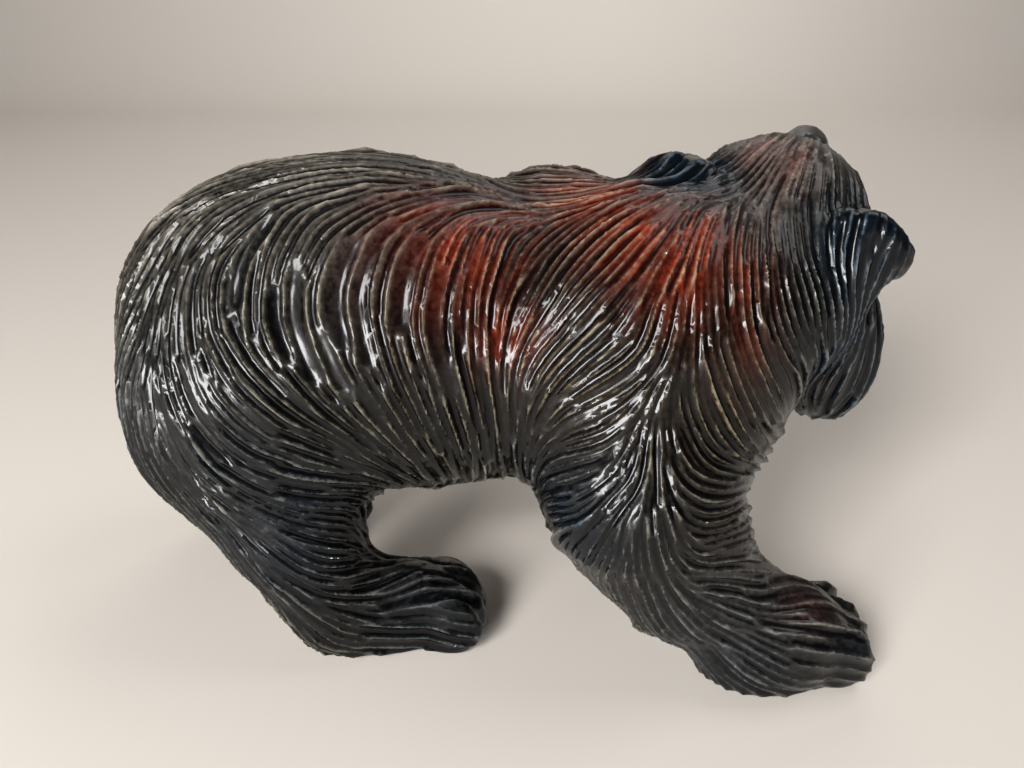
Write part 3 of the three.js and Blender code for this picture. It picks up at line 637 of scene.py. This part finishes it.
def gouge_cuts(mesh, settings, rng):
    """Paths of the gouge, laid side by side along the lie of the coat, with their breadths."""
    corners, normals = corners_and_normals(mesh)
    way, breadth, size = lie_of_coat(corners, normals, edge_ends(mesh))
    tree = kdtree.KDTree(len(corners))
    for i, p in enumerate(corners.tolist()):
        tree.insert(p, i)
    tree.balance()
    bare = [(*centre, radius * radius) for centre, radius in bare_places()]
    points, norms, ways = corners.tolist(), normals.tolist(), way.tolist()
    breadths, sizes = breadth.tolist(), size.tolist()
    taken = Neighbours(ROOM_GRID)

    def on_skin(q):
        near = tree.find(q)[1]
        n, v = norms[near], points[near]
        out = (q[0] - v[0]) * n[0] + (q[1] - v[1]) * n[1] + (q[2] - v[2]) * n[2]
        return near, (q[0] - out * n[0], q[1] - out * n[1], q[2] - out * n[2])

    def barred(q):
        return q[2] < SOLE_EDGE or any(
            (q[0] - x) ** 2 + (q[1] - y) ** 2 + (q[2] - z) ** 2 < r for x, y, z, r in bare)

    cuts = []
    random_seeds = rng.permutation(len(corners)).tolist()
    broad_seeds = list(BROAD_CUTS)
    beside = []
    while random_seeds or beside:
        broad = None
        if broad_seeds:
            *q, broad = broad_seeds.pop()
            near, p = on_skin(q)
        elif beside:
            near, p = on_skin(beside.pop())
        else:
            near = random_seeds.pop()
            p = points[near]
        if sizes[near] < WEAKEST_LIE or barred(p):
            continue
        width = broad or breadths[near]
        if not taken.free(p, ways[near], width, SEED_ROOM):
            continue
        path = [(*p, near)]
        tips = {}
        for sign in (1, -1):
            q, here, last = p, near, None
            length = settings.broad_length if broad else settings.cut_length
            steps = int(0.5 * length * rng.uniform(*LENGTH_SPREAD) / STEP_ALONG)
            tip = []
            while len(tip) < TIP_STEPS:
                w = ways[here]
                if last and w[0] * last[0] + w[1] * last[1] + w[2] * last[2] < SHARPEST_TURN:
                    break
                last = w
                here, q = on_skin([q[a] + sign * STEP_ALONG * w[a] for a in range(3)])
                if barred(q):
                    break
                if tip or steps == 0 or not taken.free(q, w, width, RUN_ROOM):
                    tip.append((*q, here))
                elif sign > 0:
                    path.append((*q, here))
                else:
                    path.insert(0, (*q, here))
                steps = max(steps - 1, 0)
            tips[sign] = tip
        if len(path) < FEWEST_PLACES:
            continue
        for q in path:
            taken.put(q, width)
        whole = np.array(tips[-1][::-1] + path + tips[1])
        cuts.append((whole[:, :3], normals[whole[:, 3].astype(int)], width))
        for i in range(1, len(path) - 1, BESIDE_EVERY):
            near = path[i][3]
            side = Vector(norms[near]).cross(Vector(ways[near]))
            for s in (BESIDE * width, -BESIDE * width):
                beside.append([path[i][a] + s * side[a] for a in range(3)])
    return cuts


def cut_segments(cuts, rng):
    """Every short straight stretch of every cut, with the gouge's depth at its two ends."""
    starts, ends, depths, hollows, leans, tints = [], [], [], [], [], []
    for path, outward, width in cuts:
        count = len(path)
        along = np.arange(count) * STEP_ALONG
        deepest = min(LEAST_DEPTH + DEPTH_PER_BREADTH * width, MOST_DEPTH) * rng.uniform(*DEPTH_SPREAD)
        depth = deepest * np.clip(along / SLIDE_IN, 0, 1) ** IN_POWER
        depth *= np.clip((along[-1] - along) / SLIDE_OUT, 0, 1) ** OUT_POWER
        starts.append(path[:-1])
        ends.append(path[1:])
        depths.append(np.stack((depth[:-1], depth[1:]), 1))
        hollows.append(np.full(count - 1, deepest / (HOLLOW * width) ** 3))
        leans.append(rng.uniform(-LEAN, LEAN) * np.cross(outward[:-1], path[1:] - path[:-1]) / STEP_ALONG)
        tints.append(np.full(count - 1, rng.random()))
    return [np.concatenate(part) for part in (starts, ends, depths, hollows, leans, tints)]


def near_pairs(points, centres, cell):
    """Pairs of a point and a centre that lie in the same or in neighbouring boxes of a grid."""
    low = np.minimum(points.min(0), centres.min(0)) - 2 * cell
    span = 4096

    def key(cells):
        return (cells[:, 0] * span + cells[:, 1]) * span + cells[:, 2]

    point_key = key(((points - low) // cell).astype(np.int64))
    order = np.argsort(point_key, kind="stable")
    keys, first, count = np.unique(point_key[order], return_index=True, return_counts=True)
    boxes = ((centres - low) // cell).astype(np.int64)
    for shift in np.ndindex(3, 3, 3):
        wanted = key(boxes + np.array(shift) - 1)
        slot = np.minimum(np.searchsorted(keys, wanted), len(keys) - 1)
        hit = np.flatnonzero(keys[slot] == wanted)
        slot = slot[hit]
        lengths = count[slot]
        which = np.repeat(hit, lengths)
        offset = np.arange(lengths.sum()) - np.repeat(np.cumsum(lengths) - lengths, lengths)
        yield order[np.repeat(first[slot], lengths) + offset], which


def cut_at(points, segments):
    """How deep the gouge has gone at each point, and which stretch of which cut did it."""
    starts, ends, depths, hollows, leans = segments[:5]
    axes = ends - starts
    spans = (axes ** 2).sum(1)
    deepest = np.full(len(points), UNCUT)
    owner = np.full(len(points), -1)
    for point, seg in near_pairs(points, (starts + ends) / 2, CUT_GRID):
        away = points[point] - starts[seg]
        t = np.clip((away * axes[seg]).sum(1) / spans[seg], 0, 1)
        aside = ((away - t[:, None] * axes[seg]) ** 2).sum(1)
        depth = depths[seg, 0] * (1 - t) + depths[seg, 1] * t
        depth += (away * leans[seg]).sum(1) - hollows[seg] * aside ** 1.5
        better = depth > deepest[point]
        point, seg, depth = point[better], seg[better], depth[better]
        rising = np.argsort(depth, kind="stable")
        deepest[point[rising]] = depth[rising]
        owner[point[rising]] = seg[rising]
    return deepest, owner


def carve_coat(settings):
    """The whole carving as a mesh in units, with the marks that the finish needs."""
    rng = np.random.default_rng(settings.seed)
    step = settings.grain
    values, low = sampled(bear_form(), step)
    corners, faces = skin_of(close_narrow_gaps(values, step), low, step)
    smooth = with_modifier(mesh_from("skin", corners, faces), "SUBSURF", levels=1)
    cuts = gouge_cuts(smooth, settings, rng)
    segments = cut_segments(cuts, rng)
    dense = with_modifier(smooth, "SUBSURF", levels=1)
    corners, normals = corners_and_normals(dense)
    depth, owner = cut_at(corners, segments)
    spared = patches(corners, [*SMOOTHED, *both_sides(EAR_AT, EAR_RIM)])
    sunk = np.clip(depth, 0, None) * settings.depth * (1 - spared)
    above = np.clip((corners[:, 2] - SOLE_EDGE) / SOLE_BLEND, 0, 1)
    out = (SPARE_WOOD - sunk) * above
    carved = mesh_from("carved", corners + out[:, None] * normals, face_corners(dense))
    mark_finish(carved, corners, normals, sunk, owner < 0, segments[5][owner])
    # Each four-sided face counts as two triangles
    ratio = settings.triangles / (2 * len(dense.polygons))
    return with_modifier(carved, "DECIMATE", ratio=ratio)


COLOUR = {"subtype": "COLOR", "min": 0, "max": 1}


class BearSettings(bpy.types.PropertyGroup):
    grain: FloatProperty(
        name="Grain", description="Spacing of the grid that the smooth form is sampled on, in units",
        default=2.8, min=1.5, max=6)
    cut_length: FloatProperty(
        name="Cut Length", description="Usual length of one gouge cut, in units", default=75, min=5)
    broad_length: FloatProperty(
        name="Broad Cut Length", description="Usual length of the flank's broad cuts, in units",
        default=40, min=5)
    depth: FloatProperty(
        name="Depth", description="Share of the drawn depth that the gouge goes into the wood",
        default=1.0, min=0, max=2)
    triangles: IntProperty(
        name="Triangles", description="Triangles that describe the finished carving", default=190000)
    seed: IntProperty(name="Seed", description="Start of the random draws", default=7)
    black_stain: FloatVectorProperty(
        name="Black Stain", description="Stain on most of the coat",
        default=hex_colour("#100e0b"), **COLOUR)
    red_wear: FloatVectorProperty(
        name="Red Wear", description="Worn stain on the saddle and the shoulder",
        default=hex_colour("#641c07"), **COLOUR)
    brown_wear: FloatVectorProperty(
        name="Brown Wear", description="Worn stain on the chest and the upper fore leg",
        default=hex_colour("#22180e"), **COLOUR)
    blue_tinge: FloatVectorProperty(
        name="Blue Tinge", description="Thick glossy stain on the ears, the ruff and the feet",
        default=hex_colour("#0c131a"), **COLOUR)
    dust: FloatVectorProperty(
        name="Dust", description="Dust on the ridges", default=hex_colour("#8b8378"), **COLOUR)
    paper: FloatVectorProperty(
        name="Paper", description="The floor's paper", default=hex_colour("#cbc3ba"), **COLOUR)


# Where the drawing's origin lies against the middle of the block's underside, in units
DRAWN_MIDDLE = (-0.7, 2.35, 0.0)


def world_of(places):
    """Units of the drawing to metres in the frame of the block."""
    middle = (BLOCK_LOW + BLOCK_HIGH) / 2
    middle[2] = BLOCK_LOW[2]
    return (np.array(places) - DRAWN_MIDDLE) * UNIT + middle


def add_node(tree, kind, settings=None, **links):
    """A shader node with its settings, and values or links for its inputs by name or number."""
    node = tree.nodes.new(kind)
    for key, value in (settings or {}).items():
        setattr(node, key, value)
    for key, value in links.items():
        socket = node.inputs[int(key[1:])] if key[0] == "_" else node.inputs[key.replace("_", " ")]
        if isinstance(value, bpy.types.NodeSocket):
            tree.links.new(value, socket)
        else:
            socket.default_value = value
    return node


# Where the finish differs, in units: centre, radius and strength of each patch
SMOOTHED = (
    (-12, -40, 14, 16, 0.6), (138, -64, 26, 26, 0.4), (-78, 40, 14, 16, 0.6),
    (108, 42, 16, 14, 0.4),
)
RED_WORN = (
    (-13, -38, 187, 24, 0.75), (2, -22, 193, 20, 0.5), (6, -51, 157, 13, 0.4), (-20, -50, 172, 15, 0.2),
    (70, -39, 188, 23, 1.1), (56, -30, 192, 22, 0.9), (90, -45, 177, 14, 0.35), (52, -1, 198, 28, 1.0),
    (80, -8, 199, 20, 0.9), (110, 8, 210, 16, 0.6), (128, -64, 46, 14, 0.2), (95, -57, 152, 14, 0.15),
)
BROWN_WORN = (
    (91, -61, 140, 26, 0.7), (96, -70, 86, 20, 0.6), (34, -63, 135, 30, 0.5),
    (70, -72, 118, 20, 0.4),
)
BLUE_BLACK = (
    (-78, -67, 74, 34, 0.8), (-22, -52, 30, 40, 0.7), (31, -72, 88, 28, 0.9), (100, -82, 37, 40, 0.8),
    (148, -74, 29, 22, 0.5), (144, -28, 180, 18, 1.0), (143, -28, 138, 30, 1.0), (-135, -42, 120, 40, 0.5),
    (-95, -64, 110, 26, 0.5),
)
DUSTY = (
    (-60, -8, 210, 44, 0.9), (-20, 8, 200, 32, 0.7), (104, -10, 199, 20, 0.9), (29, 18, 197, 28, 0.5),
    (112, 5, 207, 32, 0.9), (-110, -10, 190, 40, 0.7), (100, -82, 50, 26, 0.35),
)

# Radius and strength of the stain on each ear and each ruff, and of the patch on the ear's thin rim
# in which the gouge is held back
EAR_STAIN = (24, 1.8)
RUFF_STAIN = (33, 1.2)
EAR_RIM = (19, 0.5)


def both_sides(at, reach):
    """A patch on either side of the head, for a place given in the head's own frame."""
    return [(*on_head(at[0], s * at[1], at[2]), *reach) for s in (1, -1)]


def patches(corners, rows):
    """How far each corner lies in the nearest of several round patches with soft rims."""
    reached = np.zeros(len(corners))
    for x, y, z, radius, strength in rows:
        away = ((corners - (x, y, z)) ** 2).sum(1)
        reached = np.maximum(reached, strength * np.exp(-away / (radius * radius)))
    return reached


# Sizes of the finish's patterns and heights of its bumps, in millimetres
BLOTCH_SIZE = 16.7
SPECK_SIZE = 2.4
RIPPLE_SIZE = 5.3
RIPPLE_HEIGHT = 0.5
SPECK_HEIGHT = 0.15

# Detail of the three patterns, and how strongly the bumps show
PATTERNS = ((BLOTCH_SIZE, 3.0), (SPECK_SIZE, 3.0), (RIPPLE_SIZE, 2.0))
BUMP_STRENGTH = 0.6
# What a pattern or a mark is multiplied by, and what is then added to it
UNEVEN = {"_1": 0.5, "_2": -0.25}
WEAR = {"_1": 1.2, "_2": 0.4}
DUST = {"_1": 1.2, "_2": 0.3}
CRESTS = {"_1": 1.5, "_2": -0.42}
SHADES = {"_1": 0.5, "_2": 0.75}
DULLNESS = {"_1": 0.55, "_2": 0.26}
# The stained wood, and the clear lacquer over it
WOOD = {"IOR": 1.5, "Specular_IOR_Level": 0.1}
LACQUER = {"Coat_Weight": 0.32, "Coat_Roughness": 0.14, "Coat_IOR": 1.5}
PAPER_ROUGHNESS = 0.7

# Every finish from the bottom of a cut to its crest, as places on that way and colours. The colour
# at the middle place is a setting. A mask on the mesh says where the finish shows. The near-black at
# the bottom of each cut is painted shade; the paler crest is stain worn thin and dusty.
CREST_AT = 0.95
FINISHES_AND_PAINTED_SHADE = (
    ("black_stain", None, 0.3, "#020202", 0.6, "#5a5648"),
    ("brown_wear", "brown_worn", 0.25, "#060301", 0.6, "#655a47"),
    ("red_wear", "red_worn", 0.15, "#1e0401", 0.5, "#846e58"),
    ("blue_tinge", "blue_black", 0.3, "#020406", 0.6, "#485158"),
)


def per_metre(millimetres):
    """How often a pattern of that size repeats in a metre."""
    return 1000 / millimetres


def black_stained_lacquered_wood(settings):
    """Carved wood, stained black and brushed with clear lacquer, worn and dusty on its ridges.

    The lacquer gives the eye sharp glints along the cuts. The stain has gone thin on the back and
    the shoulder, where the lacquer glows red-brown, and dust greys the ridges that face upwards.
    The bottoms of the cuts are painted near-black as shade.
    """
    material = bpy.data.materials.new("black_stained_lacquered_carved_wood")
    material.use_nodes = True
    tree = material.node_tree
    tree.nodes.clear()
    place = add_node(tree, "ShaderNodeTexCoord").outputs["Object"]
    noise = [
        add_node(tree, "ShaderNodeTexNoise", Vector=place, Scale=per_metre(size), Detail=detail)
        for size, detail in PATTERNS]
    blotch, speck, ripple = (node.outputs["Fac"] for node in noise)
    marks = {
        name: add_node(tree, "ShaderNodeAttribute", {"attribute_name": name}).outputs["Fac"]
        for name in MARKS}
    line = {"operation": "MULTIPLY_ADD"}
    clamped_line = {"operation": "MULTIPLY_ADD", "use_clamp": True}
    total = {"operation": "ADD"}
    product = {"operation": "MULTIPLY", "use_clamp": True}
    blend = {"data_type": "RGBA"}
    # How high on its ridge a spot lies, a little uneven, and how patchy wear and dust are
    uneven = add_node(tree, "ShaderNodeMath", line, _0=speck, **UNEVEN).outputs[0]
    height = add_node(tree, "ShaderNodeMath", total, _0=marks["ridge"], _1=uneven).outputs[0]
    wear_left = add_node(tree, "ShaderNodeMath", line, _0=blotch, **WEAR).outputs[0]
    dust_left = add_node(tree, "ShaderNodeMath", line, _0=blotch, **DUST).outputs[0]
    colour = None
    # From the bottom of a cut to its crest: painted shade, then the stain, then its worn, dusty crest
    for setting, mask, low_at, low, middle_at, crest in FINISHES_AND_PAINTED_SHADE:
        ramp = add_node(tree, "ShaderNodeValToRGB", _0=height)
        ramp.color_ramp.elements.new(0.5)
        middle = getattr(settings, setting)
        stops = ((low_at, hex_colour(low)), (middle_at, middle), (CREST_AT, hex_colour(crest)))
        for element, (stop_at, stop_colour) in zip(ramp.color_ramp.elements, stops):
            element.position = stop_at
            element.color = (*stop_colour, 1)
        finish = ramp.outputs["Color"]
        if mask is None:
            colour = finish
        else:
            share = add_node(tree, "ShaderNodeMath", product, _0=marks[mask], _1=wear_left).outputs[0]
            mixed = add_node(tree, "ShaderNodeMix", blend, _0=share, _6=colour, _7=finish)
            colour = mixed.outputs[2]
    # Dust lies on the crests and leaves the bottoms of the cuts clean
    crests = add_node(tree, "ShaderNodeMath", clamped_line, _0=height, **CRESTS).outputs[0]
    on_crests = add_node(tree, "ShaderNodeMath", product, _0=marks["dust"], _1=crests).outputs[0]
    dusty = add_node(tree, "ShaderNodeMath", product, _0=on_crests, _1=dust_left).outputs[0]
    dust_colour = (*settings.dust, 1)
    colour = add_node(tree, "ShaderNodeMix", blend, _0=dusty, _6=colour, _7=dust_colour).outputs[2]
    shade = add_node(tree, "ShaderNodeMath", line, _0=marks["tint"], **SHADES).outputs[0]
    colour = add_node(tree, "ShaderNodeHueSaturation", Color=colour, Value=shade).outputs["Color"]
    roughness = add_node(tree, "ShaderNodeMath", line, _0=marks["dust"], **DULLNESS).outputs[0]
    # Ripples where the gouge chattered, and specks in the lacquer
    ripples = add_node(
        tree, "ShaderNodeBump", Height=ripple, Distance=RIPPLE_HEIGHT / 1000, Strength=BUMP_STRENGTH)
    bumps = add_node(
        tree, "ShaderNodeBump", Height=speck, Normal=ripples.outputs["Normal"],
        Distance=SPECK_HEIGHT / 1000, Strength=BUMP_STRENGTH)
    shader = add_node(
        tree, "ShaderNodeBsdfPrincipled", Base_Color=colour, Roughness=roughness,
        Normal=bumps.outputs["Normal"], **WOOD, **LACQUER)
    add_node(tree, "ShaderNodeOutputMaterial", Surface=shader.outputs[0])
    return material


def pale_matt_paper(settings):
    """Background paper, matt and plain, which gives the eye nothing but the bear's shadow."""
    material = bpy.data.materials.new("pale_matt_paper")
    material.use_nodes = True
    shader = material.node_tree.nodes["Principled BSDF"]
    shader.inputs["Base Color"].default_value = (*settings.paper, 1)
    shader.inputs["Roughness"].default_value = PAPER_ROUGHNESS
    return material


# A ridge stands above the depth round it, which is smoothed so often. Its mark is a level with a
# gain for each such rise in units, softened so often. Low in a cut the mark is small, and there the
# colour is painted darker as shade.
RIDGE_ROUNDS = 10
RIDGE_LEVEL = 0.4
RIDGE_GAIN = 0.6
RIDGE_RISE = 0.65
RIDGE_SOFTENED = 1
# Tint where no cut reaches, and the least share of the red that a cut keeps
MIDDLE_TINT = 0.5
LEAST_RED = 0.5
# Dust on a flat top anywhere, and in the middle of a dusty patch
DUST_ALL_OVER = 0.12
DUST_IN_PATCHES = 0.65
MARKS = ("ridge", "tint", "red_worn", "brown_worn", "blue_black", "dust")


def mark_finish(mesh, corners, normals, depth, uncut, tint):
    """What the finish needs to know at each corner, as named values on the mesh."""
    up = np.clip(normals[:, 2], 0, 1)
    edges = edge_ends(mesh)
    tint = np.where(uncut, MIDDLE_TINT, tint)
    ears = np.clip(patches(corners, both_sides(EAR_AT, EAR_STAIN)), 0, 1)
    # Spots below the depth round them get a low ridge mark, which paints shade into the cuts
    around = spread_over(depth[:, None], edges, RIDGE_ROUNDS)
    above = (around - depth[:, None]) / RIDGE_RISE
    ridge = spread_over(np.clip(RIDGE_LEVEL + RIDGE_GAIN * above, 0, 1), edges, RIDGE_SOFTENED)[:, 0]
    red = patches(corners, RED_WORN) * (LEAST_RED + tint) * (1 - ears)
    blue = np.maximum(patches(corners, [*BLUE_BLACK, *both_sides(RUFF_AT, RUFF_STAIN)]), ears)
    dust = np.clip(DUST_ALL_OVER * up + DUST_IN_PATCHES * patches(corners, DUSTY), 0, 1) * (1 - ears)
    for name, values in zip(MARKS, (ridge, tint, red, patches(corners, BROWN_WORN), blue, dust)):
        mesh.attributes.new(name, "FLOAT", "POINT").data.foreach_set("value", values.astype(np.float32))


# Edges that bend by more degrees than this are shown sharp
SHARP_ANGLE = 58


class CARVING_OT_bear(bpy.types.Operator):
    """Carve the whole bear, coat, face and feet, from one block of wood"""

    bl_idname = "carving.bear"
    bl_label = "Carve Bear"

    def execute(self, context):
        mesh = carve_coat(context.scene.bear)
        corners, _ = corners_and_normals(mesh)
        mesh.vertices.foreach_set("co", world_of(corners).astype(np.float32).ravel())
        mesh.shade_smooth()
        mesh.set_sharp_from_angle(angle=math.radians(SHARP_ANGLE))
        mesh.update()
        mesh.name = "bear_carving"
        bear = bpy.data.objects.new("bear_carving", mesh)
        context.collection.objects.link(bear)
        mesh.materials.append(black_stained_lacquered_wood(context.scene.bear))
        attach(bear, "root")
        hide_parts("bear")
        return {"FINISHED"}


# The photograph's camera, in units and on the drawing's own origin
CAMERA_AT = (9.0, -316.0, 270.0)
CAMERA_DOWN = 27.0
CAMERA_PIXELS = 790.0
PHOTO_WIDTH = 1024.0
FILM_WIDTH = 36.0

# The floor, in metres: its front, where it starts to sweep up, the radius of the bend, its top, half
# of its width, and the degrees at which the bend has corners
FLOOR_FRONT, FLOOR_BACK = -3.0, 1.6
FLOOR_BEND, FLOOR_TOP, FLOOR_SIDE = 0.6, 3.0, 4.0
FLOOR_CORNERS = range(9, 91, 9)

# Each soft light: its place, its size in metres, its watts and the place that it points at
LIGHTS = (
    ("key", (-0.8, -1.3, 1.05), 0.62, 42, (0, 0, 0.1)),
    ("side", (-0.6, -1.15, 0.18), 0.4, 24, (0, 0, 0.1)),
    ("top", (0.8, 0.1, 1.3), 0.8, 6, (0, 0, 0.1)),
    ("back", (0.5, 1.5, 1.9), 1.4, 22, (0, 2.2, 1.0)),
)
ROOM_COLOUR = "#e8ecf0"
ROOM_STRENGTH = 0.07


class CARVING_OT_stage(bpy.types.Operator):
    """Set up the pale floor, the soft lights and the camera"""

    bl_idname = "carving.stage"
    bl_label = "Set Stage"

    def execute(self, context):
        scene = context.scene
        camera_data = bpy.data.cameras.new("camera")
        camera_data.sensor_width = FILM_WIDTH
        camera_data.lens = FILM_WIDTH * CAMERA_PIXELS / PHOTO_WIDTH
        camera = bpy.data.objects.new("camera", camera_data)
        camera.location = Vector(world_of(CAMERA_AT))
        camera.rotation_euler = (math.radians(90 - CAMERA_DOWN), 0, 0)
        scene.collection.objects.link(camera)
        scene.camera = camera
        # A floor that sweeps up far behind
        profile = [(FLOOR_FRONT, 0.0), (FLOOR_BACK, 0.0)]
        for a in np.radians(FLOOR_CORNERS):
            profile.append((FLOOR_BACK + FLOOR_BEND * math.sin(a), FLOOR_BEND - FLOOR_BEND * math.cos(a)))
        profile.append((FLOOR_BACK + FLOOR_BEND, FLOOR_TOP))
        corners = [(x, y, z + BLOCK_LOW[2]) for x in (-FLOOR_SIDE, FLOOR_SIDE) for y, z in profile]
        n = len(profile)
        faces = [(i, n + i, n + i + 1, i + 1) for i in range(n - 1)]
        floor_mesh = bpy.data.meshes.new("floor")
        floor_mesh.from_pydata(corners, [], faces)
        floor_mesh.shade_smooth()
        floor = bpy.data.objects.new("floor", floor_mesh)
        scene.collection.objects.link(floor)
        floor_mesh.materials.append(pale_matt_paper(scene.bear))
        for name, at, size, watts, aim in LIGHTS:
            light_data = bpy.data.lights.new(name, "AREA")
            light_data.size = size
            light_data.energy = watts
            light = bpy.data.objects.new(name, light_data)
            light.location = at
            light.rotation_euler = (Vector(aim) - Vector(at)).to_track_quat("-Z", "Y").to_euler()
            scene.collection.objects.link(light)
        world = bpy.data.worlds.new("studio")
        world.use_nodes = True
        background = world.node_tree.nodes["Background"]
        background.inputs["Color"].default_value = (*hex_colour(ROOM_COLOUR), 1)
        background.inputs["Strength"].default_value = ROOM_STRENGTH
        scene.world = world
        scene.view_settings.view_transform = "Standard"
        return {"FINISHED"}


class CARVING_PT_panel(bpy.types.Panel):
    bl_label = "Carving"
    bl_idname = "CARVING_PT_panel"
    bl_space_type = "VIEW_3D"
    bl_region_type = "UI"
    bl_category = "Carving"

    def draw(self, context):
        settings = context.scene.bear
        for name in BearSettings.__annotations__:
            self.layout.prop(settings, name)
        for operator in (CARVING_OT_bear, CARVING_OT_stage):
            self.layout.operator(operator.bl_idname)


CLASSES = (BearSettings, CARVING_OT_bear, CARVING_OT_stage, CARVING_PT_panel)


def register():
    for cls in CLASSES:
        bpy.utils.register_class(cls)
    bpy.types.Scene.bear = PointerProperty(type=BearSettings)


def unregister():
    del bpy.types.Scene.bear
    for cls in reversed(CLASSES):
        bpy.utils.unregister_class(cls)


def main():
    register()
    bpy.ops.carving.bear()
    bpy.ops.carving.stage()


if __name__ == "__main__":
    main()
